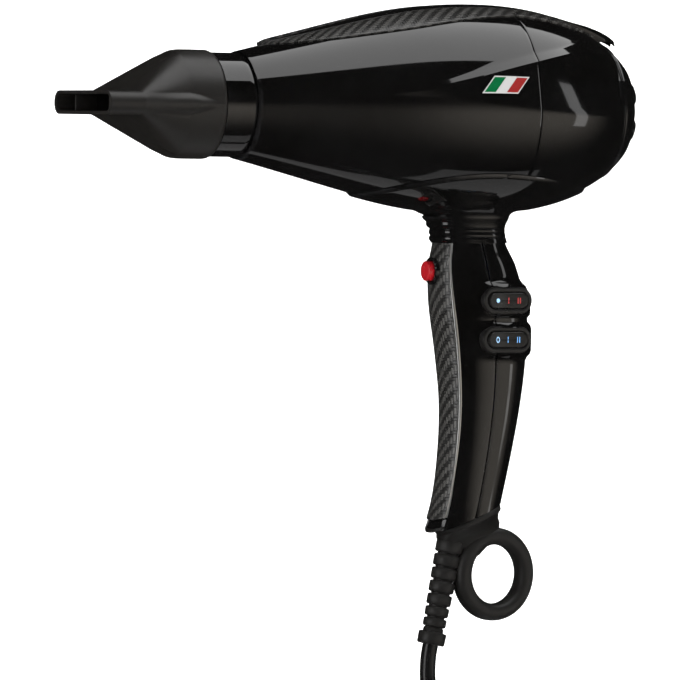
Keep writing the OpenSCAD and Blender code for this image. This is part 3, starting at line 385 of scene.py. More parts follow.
def makeWeave(name, thread, blackAndShadeTone, sheenTone):
    # woven inlay under clear lacquer, its colour painted with sheen on the threads and shade between them; reads the
    # piece's own UV map, in metres
    material = bpy.data.materials.new(name)
    material.use_nodes = True
    tree = material.node_tree
    shader = tree.nodes["Principled BSDF"]
    place = tree.nodes.new("ShaderNodeUVMap")
    place.uv_map = "weaveMap"
    twill = addNode(tree, "ShaderNodeGroup", node_tree=twillGroup)
    twill.inputs["Thread"].default_value = thread
    tree.links.new(place.outputs[0], twill.inputs["Place"])
    film = addNode(tree, "ShaderNodeGroup", node_tree=grainGroup)
    where = tree.nodes.new("ShaderNodeTexCoord")
    tree.links.new(where.outputs["Object"], film.inputs["Place"])
    colour = addNode(tree, "ShaderNodeMix", data_type="RGBA")
    # colour runs from the black fibre with painted shade between threads to the painted sheen on thread crowns
    colour.inputs[6].default_value = (*blackAndShadeTone, 1)
    colour.inputs[7].default_value = (*sheenTone, 1)
    tree.links.new(twill.outputs["SheenAndShade"], colour.inputs[0])
    tree.links.new(colour.outputs[2], shader.inputs["Base Color"])
    rough = addNode(tree, "ShaderNodeMapRange", {"Value": film.outputs["Film"]})
    rough.inputs["To Min"].default_value, rough.inputs["To Max"].default_value = 0.24, 0.34
    tree.links.new(rough.outputs[0], shader.inputs["Roughness"])
    bump = addNode(tree, "ShaderNodeBump", {"Height": twill.outputs["Height"]}, Strength=1.0)
    bump.inputs["Distance"].default_value = 0.16 * mm
    tree.links.new(bump.outputs[0], shader.inputs["Normal"])
    shader.inputs["Coat Weight"].default_value = 0.25
    shader.inputs["Coat Roughness"].default_value = 0.1
    return material


finish = {name: makeFinish(name, values) for name, values in finishes.items()}
finish["weave"] = makeWeave("weave", 1.5 * mm, (0.003, 0.003, 0.003), (0.062, 0.060, 0.056))
print("materials made")


def dress(piece, material, body="casing", replaced=(), angle=32):
    if piece.type == "MESH":
        shade(piece, angle)
    piece.data.materials.clear()
    piece.data.materials.append(finish[material])
    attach(piece, body)
    if replaced:
        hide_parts(*replaced)
    return piece


# ---------- mains cord, its coil, tie and plug ----------
cordSet = {
    "diameter": 7.3, "coilMiddle": (-17, 0, -192), "coilRadius": 38, "columns": 4, "layers": 3,
    "startTurn": 20, "endTurn": 90, "crossAt": 215, "crossLong": 50,
}
cordLead = [(-22.7, 0, -101.6), (-23.6, 0, -107), (-24, -0.2, -113), (-24, -0.8, -118.5), (-23, -2.6, -126.2),
            (-20, -5.2, -134), (-15.3, -7.9, -140.7), (-9, -9.9, -146.2), (-1.5, -10.9, -149.4)]
cordTail = [(28.3, 10.9, -192), (28.7, 10.8, -199), (30, 10.4, -206), (31.3, 10.1, -213), (31.5, 10, -220)]


def coilPoints(s):
    spots = []
    for column in range(s["columns"]):
        layers = (1, 0, -1) if column % 2 == 0 else (-1, 0, 1)
        for layer in layers:
            spots.append(((column - (s["columns"] - 1) / 2) * s["diameter"], s["coilRadius"] + layer * s["diameter"]))
    total = (len(spots) - 1) * 360 + s["endTurn"] - s["startTurn"]
    count = int(total / 9)
    points = []
    for i in range(1, count):
        turn = s["startTurn"] + total * i / count
        side, radius = spots[0]
        for j in range(len(spots) - 1):
            wait = s["crossLong"] if spots[j][0] != spots[j + 1][0] else 0
            t = max(0, min(1, (turn - j * 360 - s["crossAt"] - wait) / s["crossLong"]))
            if t > 0:
                t = t ** 3 * (10 - 15 * t + 6 * t * t)
                side, radius = mix(spots[j][0], spots[j + 1][0], t), mix(spots[j][1], spots[j + 1][1], t)
        angle = math.radians(turn)
        x, y, z = s["coilMiddle"]
        points.append((x + radius * math.sin(angle), y + side, z + radius * math.cos(angle)))
    return points


def fineLine(points, parts=4):
    # a smooth line through the points
    line = []
    for i in range(len(points) - 1):
        a, b = Vector(points[max(i - 1, 0)]), Vector(points[i])
        c, d = Vector(points[i + 1]), Vector(points[min(i + 2, len(points) - 1)])
        for k in range(parts):
            t = k / parts
            line.append(0.5 * (2 * b + (c - a) * t + (2 * a - 5 * b + 4 * c - d) * t * t
                               + (3 * b - a - 3 * c + d) * t ** 3))
    line.append(Vector(points[-1]))
    return line


def tubeCurve(name, points, radius, sides=5):
    curve = bpy.data.curves.new(name, "CURVE")
    curve.dimensions = "3D"
    curve.bevel_depth = radius * mm
    curve.bevel_resolution = sides
    curve.use_fill_caps = True
    spline = curve.splines.new("POLY")
    spline.points.add(len(points) - 1)
    for spot, point in zip(spline.points, points):
        spot.co = (*(Vector(point) * mm), 1)
    piece = bpy.data.objects.new(name, curve)
    bpy.context.scene.collection.objects.link(piece)
    spline.use_smooth = True
    return piece


cordRoute = fineLine(cordLead)[:-1] + fineLine([cordLead[-1]] + coilPoints(cordSet) + [cordTail[0]], 1)[:-1] + fineLine(cordTail)
mainsCord = tubeCurve("mainsCord", cordRoute, cordSet["diameter"] / 2)
dress(mainsCord, "cordSheath", replaced=("cord", "cord_coil"))

tie = {"turn": -32, "wide": 10, "thick": 1.1, "slack": 0.45, "corner": 3.0}


def makeTie(s):
    halfY = cordSet["columns"] * cordSet["diameter"] / 2 + s["slack"]
    halfR = cordSet["layers"] * cordSet["diameter"] / 2 + s["slack"] / 2
    outline = []
    for cornerY, cornerR, start in ((1, 1, 0), (-1, 1, 90), (-1, -1, 180), (1, -1, 270)):
        for i in range(7):
            turn = math.radians(start + 15 * i)
            outline.append((cornerY * (halfY - s["corner"]) + s["corner"] * math.cos(turn),
                            cornerR * (halfR - s["corner"]) + s["corner"] * math.sin(turn)))
    outline.append(outline[0])
    lean = math.radians(s["turn"])
    middle = Vector(cordSet["coilMiddle"])
    radial, sideways = Vector((math.sin(lean), 0, math.cos(lean))), Vector((math.cos(lean), 0, -math.sin(lean)))

    def place(row, col):
        y, r = outline[row]
        across = (col / 6 - 0.5) * s["wide"]
        swell = 0.15 * math.sin(row * 0.9)
        return middle + radial * (cordSet["coilRadius"] + r + swell * 0.4) + sideways * across + Vector((0, y, 0))
    piece = gridOf("coilTie", len(outline), 7, place)
    cleanUp(piece)
    useModifier(piece, "SOLIDIFY", thickness=s["thick"] * mm, offset=1)
    soften(piece, 0.3, 2, 50)
    tab = boxOf("tieTab", (-3.2, -halfY - 2 * s["thick"] - 0.2, -halfR + 1), (3.2, -halfY - s["thick"], halfR - 4))
    tab.data.transform(Matrix.Translation(Vector((0, 0, cordSet["coilRadius"])) * mm))
    tab.data.transform(Matrix.Rotation(lean, 4, "Y"))
    tab.data.transform(Matrix.Translation(middle * mm))
    soften(tab, 0.4, 2)
    return joinAll("coilTie", [piece, tab])


dress(makeTie(tie), "tieBlack", replaced=("cord_tie",))

plug = {"top": (31.5, 10, -220), "neck": 19, "deep": 26, "half": (13, 18.5), "ribs": 5}


def makePlug(s):
    x, y, z = s["top"]
    face = z - s["neck"] - s["deep"]
    sections = []  # height, half depth, half width
    for i in range(s["ribs"]):
        low = z - 2.0 - i * 2.9
        wide = 4.9 + i * 0.35
        sections += [(low, wide - 0.9, wide - 0.9), (low - 0.35, wide, wide), (low - 1.5, wide + 0.1, wide + 0.1),
                     (low - 1.85, wide - 0.8, wide - 0.8)]
    sections = [(z + 0.05, 3.8, 3.8), (z, 4.3, 4.3)] + sections
    sections += [(z - 17.5, 6.4, 6.6), (z - 19, 7.6, 8.4), (z - 21, 9.6, 12.2), (z - 24, 10.9, 14.6),
                 (z - 30, 11.5, 15.5), (face + 7.5, 11.5, 15.5), (face + 6.2, 11.3, 15.3), (face + 5.6, 11.6, 15.7),
                 (face + 5.1, 12.5, 17.9), (face + 4.6, 13, 18.5), (face + 0.6, 13, 18.5), (face + 0.15, 12.8, 18.3),
                 (face, 12.3, 17.8), (face, 8, 11), (face, 0.01, 0.01)]
    sections = [(z + 0.05, 0.01, 0.01)] + sections
    cols = 65

    def place(row, col):
        height, depth, width = sections[row]
        turn = 2 * math.pi * col / (cols - 1)
        return (x + depth * math.cos(turn), y + width * math.sin(turn), height)
    piece = gridOf("plugBody", len(sections), cols, place)
    cleanUp(piece)
    useModifier(piece, "SUBSURF", levels=1, render_levels=1)
    return piece


plugBody = dress(makePlug(plug), "rubberBlack", replaced=("plug_body",), angle=60)
print("cord set done")

# ---------- barrel ----------
barrel = {
    "axisZ": 141, "noseX": -124, "noseR": 24.2, "bellyX": -6.6, "bellyR": 46.4, "tailX": 74,
    "seamX": 6, "coverX": 55.4, "wall": 2.2, "joint": 0.26,
}
# raised side panel: angles in degrees from the top at places along the barrel
ledgeTop = [(-124, 81.6), (-90, 80.9), (-62.4, 80.0), (-42.8, 73.4), (-17, 64.6), (6, 56.0), (20, 50.4), (32, 44.0),
            (40, 40.0), (56, 38.0)]
ledgeLow = [(-124, 82.4), (-90, 81.6), (-62.4, 80.9), (-51.8, 79.4), (-33.3, 74.8), (-18, 70.2), (6, 62.6), (18.2, 58.0),
            (35.5, 50.5), (56, 46.0)]
crease = [(-124, 83.6), (-89, 82.6), (-62.4, 81.9), (-38.9, 84.9), (-17, 86.9), (6, 89.6), (28, 91.5), (56, 94.0)]
ledgeHeight = [(-124, 0), (-70, 0), (-62, 0.12), (-50, 0.5), (-33, 0.9), (-17, 1.2), (6, 1.6), (30, 1.7), (44, 1.3), (56, 0.5)]


def barrelOutline(s):
    points = []
    a, d = Vector((s["noseX"], s["noseR"])), Vector((s["bellyX"], s["bellyR"]))
    b, c = Vector((s["noseX"] + 60, s["noseR"] + 14.4)), Vector((s["bellyX"] - 40, s["bellyR"]))
    for i in range(401):
        t = i / 400
        spot = (1 - t) ** 3 * a + 3 * t * (1 - t) ** 2 * b + 3 * t * t * (1 - t) * c + t ** 3 * d
        points.append((spot.x, spot.y))
    long = s["tailX"] - s["bellyX"]
    for i in range(1, 400):
        turn = math.radians(90 * i / 400)
        points.append((s["bellyX"] + long * math.sin(turn) ** 0.95, s["bellyR"] * math.cos(turn) ** 0.875))
    points.append((s["tailX"], 0.0))
    return points


outline = barrelOutline(barrel)


def radiusAt(x):
    low, high = 0, len(outline) - 1
    while high - low > 1:
        middle = (low + high) // 2
        low, high = (middle, high) if outline[middle][0] <= x else (low, middle)
    (x0, r0), (x1, r1) = outline[low], outline[high]
    return mix(r0, r1, max(0, min(1, (x - x0) / (x1 - x0))))


def onBarrel(x, degrees, out=0.0):
    # degrees from the top, growing towards the near side
    turn = math.radians(degrees)
    r = radiusAt(x) + out
    return Vector((x, -r * math.sin(turn), barrel["axisZ"] + r * math.cos(turn)))


skinSpans = [34, 5, 12, 40]


def skinPoint(x, j):
    # j counts round from the top; negative on the far side
    side = -1 if j < 0 else 1
    j = abs(j)
    marks = [0, along(ledgeTop, x), along(ledgeLow, x), along(crease, x), 180]
    height = along(ledgeHeight, x)
    span = 0
    while j > skinSpans[span]:
        j -= skinSpans[span]
        span += 1
    t = j / skinSpans[span]
    degrees = mix(marks[span], marks[span + 1], t)
    if span == 0:
        spot = onBarrel(x, degrees)
    elif span == 1:
        spot = onBarrel(x, marks[1]).lerp(onBarrel(x, marks[2], height), t)
    elif span == 2:
        flat = onBarrel(x, marks[2], height).lerp(onBarrel(x, marks[3], 0.18 * height), t)
        spot = flat.lerp(onBarrel(x, degrees, mix(height, 0.18 * height, t)), 0.22)
    else:
        spot = onBarrel(x, degrees, 0.18 * height * (1 - ease(t / 0.4)))
    spot.y *= side
    return spot


def makeSkin(name, x0, x1, step):
    half = sum(skinSpans)
    rows = int((x1 - x0) / step) + 1
    piece = gridOf(name, rows, 2 * half + 1, lambda row, col: skinPoint(mix(x0, x1, row / (rows - 1)), col - half))
    cleanUp(piece, 0.000005)
    useModifier(piece, "SOLIDIFY", thickness=barrel["wall"] * mm, offset=-1)
    soften(piece, 0.28, 2, 60)
    return piece


dress(makeSkin("frontShell", barrel["noseX"], barrel["seamX"] - barrel["joint"], 1.3), "glossBlack",
      replaced=("front_shell",), angle=28)
dress(makeSkin("rearShell", barrel["seamX"] + barrel["joint"], barrel["coverX"] - 0.1, 1.1), "glossBlack",
      replaced=("rear_shell",), angle=28)
print("barrel skins made")

# gloss spine along the top and the woven inlays beside it
trim = {"front": -113.5, "rear": 52.5, "proud": 1.2, "inlayProud": 0.75, "joint": 0.26, "thread": 1.5}
spineEdge = [(-114, 1.5), (-108, 4.5), (-94, 8.5), (-76, 10.5), (-48, 12), (6, 12), (40, 10.5), (53, 9.5), (66, 8.5)]
inlayEdge = [(-114, 1.8), (-110, 8), (-104, 17), (-94, 24.5), (-76, 30.5), (-48, 33.5), (-22, 30), (6, 24), (34, 22), (46, 18),
             (53, 12.5)]


finLine = [(30, 0), (41, 1.0), (54, 4.2), (60, 6.2), (66, 8.4)]  # how far the rear end stands up


def spineOut(x, degrees):
    fin = along(finLine, x) * (1 - 0.35 * abs(degrees) / 10)
    return trim["proud"] * ease((x - trim["front"]) / 5) + fin


def capEnds(piece):
    pick(piece)
    bpy.ops.object.mode_set(mode="EDIT")
    bpy.ops.mesh.select_all(action="DESELECT")
    bpy.ops.mesh.select_mode(type="EDGE")
    bpy.ops.mesh.select_non_manifold()
    bpy.ops.mesh.fill()
    bpy.ops.mesh.select_all(action="SELECT")
    bpy.ops.mesh.normals_make_consistent(inside=False)
    bpy.ops.mesh.select_mode(type="VERT")
    bpy.ops.object.mode_set(mode="OBJECT")


def makeSpine(name, x0, x1):
    # closed sections: over the top, then back along the underside, which clears the filter cover
    rows, half = int((x1 - x0) / 1.3) + 1, 25

    def place(row, col):
        x = mix(x0, x1, row / (rows - 1))
        top = col % (2 * half) < half
        share = (col % (2 * half) if top else 2 * half - 1 - col % (2 * half)) / (half - 1) * 2 - 1
        narrow = 1 - 0.55 * ease((x - 58) / 8)
        degrees = share * along(spineEdge, x) * narrow
        if top:
            return onBarrel(x, degrees, spineOut(x, degrees) * (1 - 0.25 * share ** 6))
        under = -0.7 if x < 55.2 else max(-0.7, 32.1 - radiusAt(x))
        return onBarrel(x, degrees, min(under, spineOut(x, degrees) - 0.9))
    piece = gridOf(name, rows, 2 * half + 1, place)
    cleanUp(piece, 0.000002)
    capEnds(piece)
    soften(piece, 0.2, 2, 50)
    return piece


def makeInlay(name, side, x0, x1):
    rows, cols = int((x1 - x0) / 1.3) + 1, 17

    def place(row, col):
        x = mix(x0, x1, row / (rows - 1))
        low, high = along(spineEdge, x) + 0.25, along(inlayEdge, x)
        degrees = mix(low, max(high, low + 0.3), col / (cols - 1))
        spot = onBarrel(x, degrees, trim["inlayProud"] * ease((x - trim["front"]) / 6))
        spot.y *= side
        return spot
    piece = gridOf(name, rows, cols, place)
    layer = piece.data.uv_layers.active or piece.data.uv_layers.new()
    layer.name = "weaveMap"
    for loop in piece.data.loops:
        co = piece.data.vertices[loop.vertex_index].co
        turn = math.atan2(-co.y, co.z - barrel["axisZ"] * mm)
        layer.data[loop.index].uv = (turn * 0.043, co.x)
    useModifier(piece, "SOLIDIFY", thickness=1.4 * mm, offset=-1)
    cleanUp(piece, 0.000002)
    soften(piece, 0.2, 2, 50)
    return piece


seam, joint = barrel["seamX"], trim["joint"]
dress(makeSpine("spineFront", trim["front"], seam - joint), "spineBlack", replaced=("front_spine",))
dress(makeSpine("spineRear", seam + joint, 65.5), "spineBlack", replaced=("rear_spine",))
for label, side in (("Near", 1), ("Far", -1)):
    dress(makeInlay("inlayFront" + label, side, trim["front"], seam - joint), "weave",
          replaced=("front_inlay_" + label.lower(),))
    dress(makeInlay("inlayRear" + label, side, seam + joint, trim["rear"] - 1.5), "weave",
          replaced=("rear_inlay_" + label.lower(),))
print("top trim made")

# outlet collar, with a soft lip at the nozzle's end
collar = {"end": -139, "seatEnd": -156.3, "rear": -104, "radius": 23.3, "seat": 22.4, "bore": 20.2}


def makeCollar(s):
    profile = [(s["seatEnd"], s["bore"]), (s["seatEnd"], s["seat"] - 0.7), (s["seatEnd"] + 0.7, s["seat"]),
               (s["end"], s["seat"]), (s["end"], s["radius"] - 0.35), (s["end"] + 0.35, s["radius"]),
               (-127, s["radius"]), (-124.6, s["radius"] + 0.05), (-124, s["radius"] - 0.3), (-123.6, 21.8), (s["rear"], 21.7),
               (s["rear"], 26.1), (-102, 26.1), (-102, s["bore"]), (s["seatEnd"], s["bore"])]
    piece = lathe("outletCollar", profile, (0, 0, barrel["axisZ"]), 128)
    return piece


dress(makeCollar(collar), "glossBlack", replaced=("outlet_collar",), angle=40)

# tricolour badge on the near panel
badge = {"corners": ((-24.0, 81.3), (-17.6, 71.6), (0.2, 71.9), (-6.2, 81.3)), "border": 0.07, "thick": 0.12}


def badgeSpot(u, v, out):
    (xa, da), (xb, db), (xc, dc), (xd, dd) = badge["corners"]
    x = mix(mix(xa, xb, v), mix(xd, xc, v), u)
    degrees = mix(mix(da, db, v), mix(dd, dc, v), u)
    # height of the flat panel there
    low, high = along(ledgeLow, x), along(crease, x)
    height = along(ledgeHeight, x)
    t = (degrees - low) / (high - low)
    flat = onBarrel(x, low, height).lerp(onBarrel(x, high, 0.18 * height), t)
    spot = flat.lerp(onBarrel(x, degrees, mix(height, 0.18 * height, t)), 0.22)
    outward = Vector((0, spot.y, spot.z - barrel["axisZ"])).normalized()
    return spot + outward * out


def makePatch(name, u0, u1, v0, v1, out):
    cols = 11
    piece = gridOf(name, 9, cols, lambda row, col: badgeSpot(mix(u0, u1, col / (cols - 1)), mix(v0, v1, row / 8), out))
    pick(piece)
    bpy.ops.object.mode_set(mode="EDIT")
    bpy.ops.mesh.select_all(action="SELECT")
    bpy.ops.mesh.flip_normals()
    bpy.ops.object.mode_set(mode="OBJECT")
    useModifier(piece, "SOLIDIFY", thickness=badge["thick"] * mm, offset=-1)
    cleanUp(piece, 0.000001)
    return piece


edge = badge["border"]
dress(makePatch("badgePlate", 0, 1, 0, 1, 0.10), "badgeWhite")
third = (1 - edge) / 3
dress(makePatch("badgeGreenBand", edge / 2, edge / 2 + third, edge, 1 - edge, 0.16), "badgeGreen")
dress(makePatch("badgeRedBand", 1 - edge / 2 - third, 1 - edge / 2, edge, 1 - edge, 0.16), "badgeRed")
print("badge made")

# rear filter cover with slotted rings
cover = {"start": 55.6, "end": 73.2, "wall": 2.0, "slots": ((9, 12), (15, 18), (21, 24)), "ribs": 6, "ribHalf": 1.3}


def makeCover(s):
    def xAt(radius):
        low, high = s["start"], barrel["tailX"] - 0.001
        for _ in range(40):
            middle = (low + high) / 2
            low, high = (middle, high) if radiusAt(middle) > radius else (low, middle)
        return low
    radii = [31.5, 30, 28, 26, 24, 23, 22, 21, 18, 17, 16, 15, 12, 11, 10, 9, 6, 3]
    profile = [(s["start"], radiusAt(s["start"]) - 0.35), (s["start"] + 0.35, radiusAt(s["start"] + 0.35))]
    profile += [(xAt(r), r) for r in radii if r < radiusAt(s["start"] + 1)] + [(s["end"], 0.0)]
    steps = 144
    piece = lathe("filterCover", profile, (0, 0, barrel["axisZ"]), steps)
    pick(piece)
    bpy.ops.object.mode_set(mode="EDIT")
    bpy.ops.mesh.select_all(action="DESELECT")
    bpy.ops.object.mode_set(mode="OBJECT")
    for face in piece.data.polygons:
        c = face.center / mm - Vector((0, 0, barrel["axisZ"]))
        radius = math.hypot(c.y, c.z)
        turn = math.degrees(math.atan2(c.y, c.z)) % (360 / s["ribs"])
        away = min(turn, 360 / s["ribs"] - turn)
        inSlot = any(low < radius < high for low, high in s["slots"])
        face.select = inSlot and math.radians(away) * radius > s["ribHalf"]
    bpy.ops.object.mode_set(mode="EDIT")
    bpy.ops.mesh.delete(type="FACE")
    bpy.ops.object.mode_set(mode="OBJECT")
    useModifier(piece, "SOLIDIFY", thickness=s["wall"] * mm, offset=-1)
    soften(piece, 0.3, 2, 50)
    lip = lathe("coverLip", [(50.4, 29.3), (50.4, 30.6), (50.8, 30.9), (57.5, 30.9), (57.5, 29.3), (50.4, 29.3)],
                (0, 0, barrel["axisZ"]), 96)
    return joinAll("filterCover", [piece, lip])


dress(makeCover(cover), "glossBlack", "filter_cover", ("filter_cover",), angle=35)
print("filter cover made")

# ---------- nozzle ----------
nozzle = {
    "front": -198.9, "mouth": 16, "middle": -156.7, "rear": -139.3, "radius": 24.4, "slotWide": 62.5, "slotHigh": 10.6,
    "wall": 1.5, "blend": 1.4, "vaneY": 18.5, "vaneThick": 1.1, "vaneFrom": 4.6, "vaneTo": 15,
}


def stadiumReach(core, round_, c, s):
    # distance to the edge of a stadium along direction (c, s)
    c, s = abs(c), abs(s)
    if s > 1e-6 and round_ / s * c <= core:
        return round_ / s
    return core * c + math.sqrt(max(round_ ** 2 - (core * s) ** 2, 0))


def makeNozzle(s):
    mouthRear = s["front"] + s["mouth"]
    halfHigh = s["slotHigh"] / 2
    core = s["slotWide"] / 2 - halfHigh
    stations = [s["front"] + 0.8 * i for i in range(int(s["mouth"] / 0.8))]
    stations += [mouthRear + (s["middle"] - mouthRear) * i / 44 for i in range(45)]
    stations += [mix(s["middle"], s["rear"], i / 22) for i in range(1, 23)]
    cols = 241

    def place(row, col):
        x = stations[row]
        share = (col / (cols - 1)) * 4
        # columns gather near the sides, where the beams are
        quarter, part = int(min(share, 3.999)), share - int(min(share, 3.999))
        part = part ** 1.25 if quarter % 2 == 0 else 1 - (1 - part) ** 1.25
        turn = math.radians(90 * (quarter + part))
        c, t = math.cos(turn), max(0.0, min(1.0, (x - mouthRear) / (s["middle"] - mouthRear)))
        n = math.sin(turn)
        if x <= mouthRear:
            reach = stadiumReach(core, halfHigh, c, n)
        else:
            hull = stadiumReach((1 - t) * core, mix(halfHigh, s["radius"], t), c, n)
            beamEnd = (x - mouthRear) / (s["rear"] - 4 - mouthRear)
            beamHalf = mix(s["slotWide"] / 2, s["radius"] - 0.15, min(1, beamEnd))
            high = halfHigh * math.sqrt(max(0.02, 1 - max(0, beamEnd - 0.45) ** 2 * 3.2))
            beam = stadiumReach(beamHalf - high, high, c, n) + 0.15
            k = s["blend"] * ease(t * 5)
            if k < 0.01:
                reach = max(hull, beam)
            else:
                h = max(0.0, min(1.0, 0.5 + 0.5 * (hull - beam) / k))
                reach = mix(beam, hull, h) + k * h * (1 - h) * 0.35
        # scoop at the shoulder, above and below, where the flare meets the ring
        scoop = 1.2 * math.exp(-((x - s["middle"] + 3.5) / 4.0) ** 2) * ease((abs(n) - 0.9) / 0.09)
        tail = 0.5 * ease((x - s["rear"] + 1.2) / 1.2)
        reach -= scoop + tail
        return (x, -reach * c, barrel["axisZ"] + reach * n)
    piece = gridOf("nozzleBody", len(stations), cols, place)
    cleanUp(piece, 0.000005)
    useModifier(piece, "SOLIDIFY", thickness=s["wall"] * mm, offset=-1)
    soften(piece, 0.3, 2, 60)
    return piece


dress(makeNozzle(nozzle), "satinBlack", "nozzle", ("nozzle",), angle=30)


def makeVane(side):
    s = nozzle
    high = s["slotHigh"] / 2 - s["wall"] * 0.6
    y = side * s["vaneY"]
    piece = boxOf("vane", (s["front"] + s["vaneFrom"], y - s["vaneThick"] / 2, barrel["axisZ"] - high),
                  (s["front"] + s["vaneTo"], y + s["vaneThick"] / 2, barrel["axisZ"] + high))
    soften(piece, 0.35, 3)
    return piece


vanes = joinAll("nozzleVanes", [makeVane(-1), makeVane(1)])
dress(vanes, "satinBlack", "nozzle")
print("nozzle made")

# ---------- handle ----------
handle = {
    "deep": 18, "wide": 14.2, "top": 82.2, "bottom": -58, "wall": 2.4, "bulge": 2.4,
    "plane": (-5, 0, -43), "planeTurn": -22,
}
gd, gw = handle["deep"], handle["wide"]
stations = [(-58, -11.5, gd - 1.2, gw - 0.6), (-38, -6, gd - 2.2, gw - 1.2), (-15, -2, gd - 1.2, gw - 0.8),
            (8, 0.3, gd + 0.6, gw + 0.2), (30, 0.2, gd + 2.8, gw + 1.8), (53, -2, gd + 4, gw + 2.8),
            (70, -4.6, gd + 2, gw + 1.4), (82.2, -6.7, gd - 1.8, gw - 0.8), (92, -7.8, gd - 0.2, gw)]


def gripAt(z):
    return [along([(s[0], s[k]) for s in stations], z) for k in (1, 2, 3)]


def bulge(v):
    return math.copysign(abs(v) ** (2 / handle["bulge"]), v)


def moundAt(z, degrees):
    away = abs(degrees % 360 - 300)
    round_ = 1 - ease((away - 22) / 40)
    return 2.6 * round_ * max(ease((9.5 - abs(z - c)) / 4) for c in (54.8, 37.1))


def onGrip(z, degrees, out=0.0):
    middle, deep, wide = gripAt(z)
    turn = math.radians(degrees)
    out += moundAt(z, degrees)
    return Vector((middle + (deep + out) * bulge(math.cos(turn)), (wide + out) * bulge(math.sin(turn)), z))


def cutBottom(piece, shift=0.0, fill=False):
    pick(piece)
    bpy.ops.object.mode_set(mode="EDIT")
    bpy.ops.mesh.select_all(action="SELECT")
    turn = math.radians(handle["planeTurn"])
    normal = Vector((math.sin(turn), 0, math.cos(turn)))
    bpy.ops.mesh.bisect(plane_co=(Vector(handle["plane"]) + normal * shift) * mm, plane_no=normal, clear_inner=True,
                        use_fill=fill)
    bpy.ops.object.mode_set(mode="OBJECT")


def cutSwitchHoles(piece):
    for z in (54.8, 37.1):
        cutter = boxOf("switchHole", (-12.6, -40, -5.4), (12.6, -6, 5.4))
        soften(cutter, 5.2, 8, 60)
        cutter.data.transform(Matrix.Rotation(math.radians(8), 4, "Z"))
        cutter.data.transform(Matrix.Translation(Vector((2, 0, z)) * mm))
        cutWith(piece, cutter)


def cutButtonHole(piece, radius):
    freeAll()
    bpy.ops.mesh.primitive_cylinder_add(vertices=64, radius=radius * mm, depth=20 * mm, location=(-0.029, 0, 0.0676),
                                        rotation=(0, math.pi / 2, 0))
    cutter = named("buttonHole")
    settle(cutter)
    cutWith(piece, cutter)


def gripRows(low, high, step=1.6):
    count = int((high - low) / step) + 1
    return [mix(low, high, i / (count - 1)) for i in range(count)]


def makeGripHalf(name, front):
    rows = gripRows(handle["bottom"], handle["top"])
    if front:
        angles = [mix(90.4, 138.8, i / 16) for i in range(17)] + [139.6 + i * 80.8 / 28 for i in range(29)]
        angles += [mix(221.2, 269.6, i / 16) for i in range(17)]
    else:
        angles = [mix(-89.6, 89.6, i / 72) for i in range(73)]

    def place(row, col):
        degrees = angles[col]
        recess = -1.2 if front and abs(degrees - 180) < 41 else 0
        dip = -0.25 if abs(abs((degrees + 180) % 360 - 180) - 90) < 0.7 else 0
        return onGrip(rows[row], degrees, recess + dip)
    piece = gridOf(name, len(rows), len(angles), place)
    cleanUp(piece, 0.000002)
    useModifier(piece, "SOLIDIFY", thickness=handle["wall"] * mm, offset=-1)
    pick(piece)
    cutBottom(piece, 0, True)
    cutSwitchHoles(piece)
    if front:
        cutButtonHole(piece, 6.0)
    return piece


dress(makeGripHalf("handleFront", True), "glossBlack", replaced=("handle_front",), angle=35)
dress(makeGripHalf("handleRear", False), "glossBlack", replaced=("handle_rear",), angle=35)
print("handle halves made")


def makeGripInlay():
    rows = gripRows(-50, 81.2, 1.5)
    cols = 31

    def place(row, col):
        degrees = mix(143, 217, col / (cols - 1))
        return onGrip(rows[row], degrees, 0.2 if 0 < row < len(rows) - 1 else -0.2)
    piece = gridOf("gripInlay", len(rows), cols, place)
    layer = piece.data.uv_layers.active or piece.data.uv_layers.new()
    layer.name = "weaveMap"
    for loop in piece.data.loops:
        co = piece.data.vertices[loop.vertex_index].co
        layer.data[loop.index].uv = (co.y, co.z)
    useModifier(piece, "SOLIDIFY", thickness=1.2 * mm, offset=-1)
    cleanUp(piece, 0.000002)
    cutBottom(piece, 5.2, True)
    cutButtonHole(piece, 6.2)
    return piece


def makeGripTrim(side):
    rows = gripRows(-50, 80.6, 1.5)
    cols = 7

    def place(row, col):
        z = rows[row]
        wide = mix(1.6, 6.0, ease((z + 50) / 50) * ease((81 - z) / 40))
        share = col / (cols - 1)
        out = 0.15 + 0.5 * math.sin(math.pi * share) ** 0.5
        return onGrip(z, 180 + side * (37.2 + wide * share), out)
    piece = gridOf("gripTrim", len(rows), cols, place)
    cleanUp(piece, 0.000002)
    useModifier(piece, "SOLIDIFY", thickness=1.0 * mm, offset=-1 if side > 0 else -1)
    cutBottom(piece, 5.0, True)
    return piece


dress(makeGripInlay(), "weave", replaced=("grip_inlay",))
dress(joinAll("gripTrims", [makeGripTrim(-1), makeGripTrim(1)]), "brightTrim", replaced=("grip_trims",),
      angle=50)
print("grip trim made")

# ---------- neck, its ribs and the saddle under the barrel ----------
neck = {"low": 80.6, "ribs": (95.0, 92.0, 88.6, 85.2, 82.4), "ribProud": 0.9, "grooves": (87.1, 85.3, 83.2),
        "saddle": (-8.5, 57, 36), "saddleProud": 0.4}
neckTable = [(80.6, -6.4, gd - 1.6, gw - 0.7), (82.2, -6.7, gd - 1.8, gw - 0.8), (86, -7.2, gd - 2, gw - 1),
             (89, -7.8, gd - 1.2, gw - 0.4), (92, -8, gd + 0.4, gw + 0.8)]


def underBarrel(x, y, out):
    r = radiusAt(x)
    y = max(-r * 0.999, min(r * 0.999, y))
    drop = math.sqrt(r * r - y * y)
    scale = (r + out) / r
    return Vector((x, y * scale, barrel["axisZ"] - drop * scale))


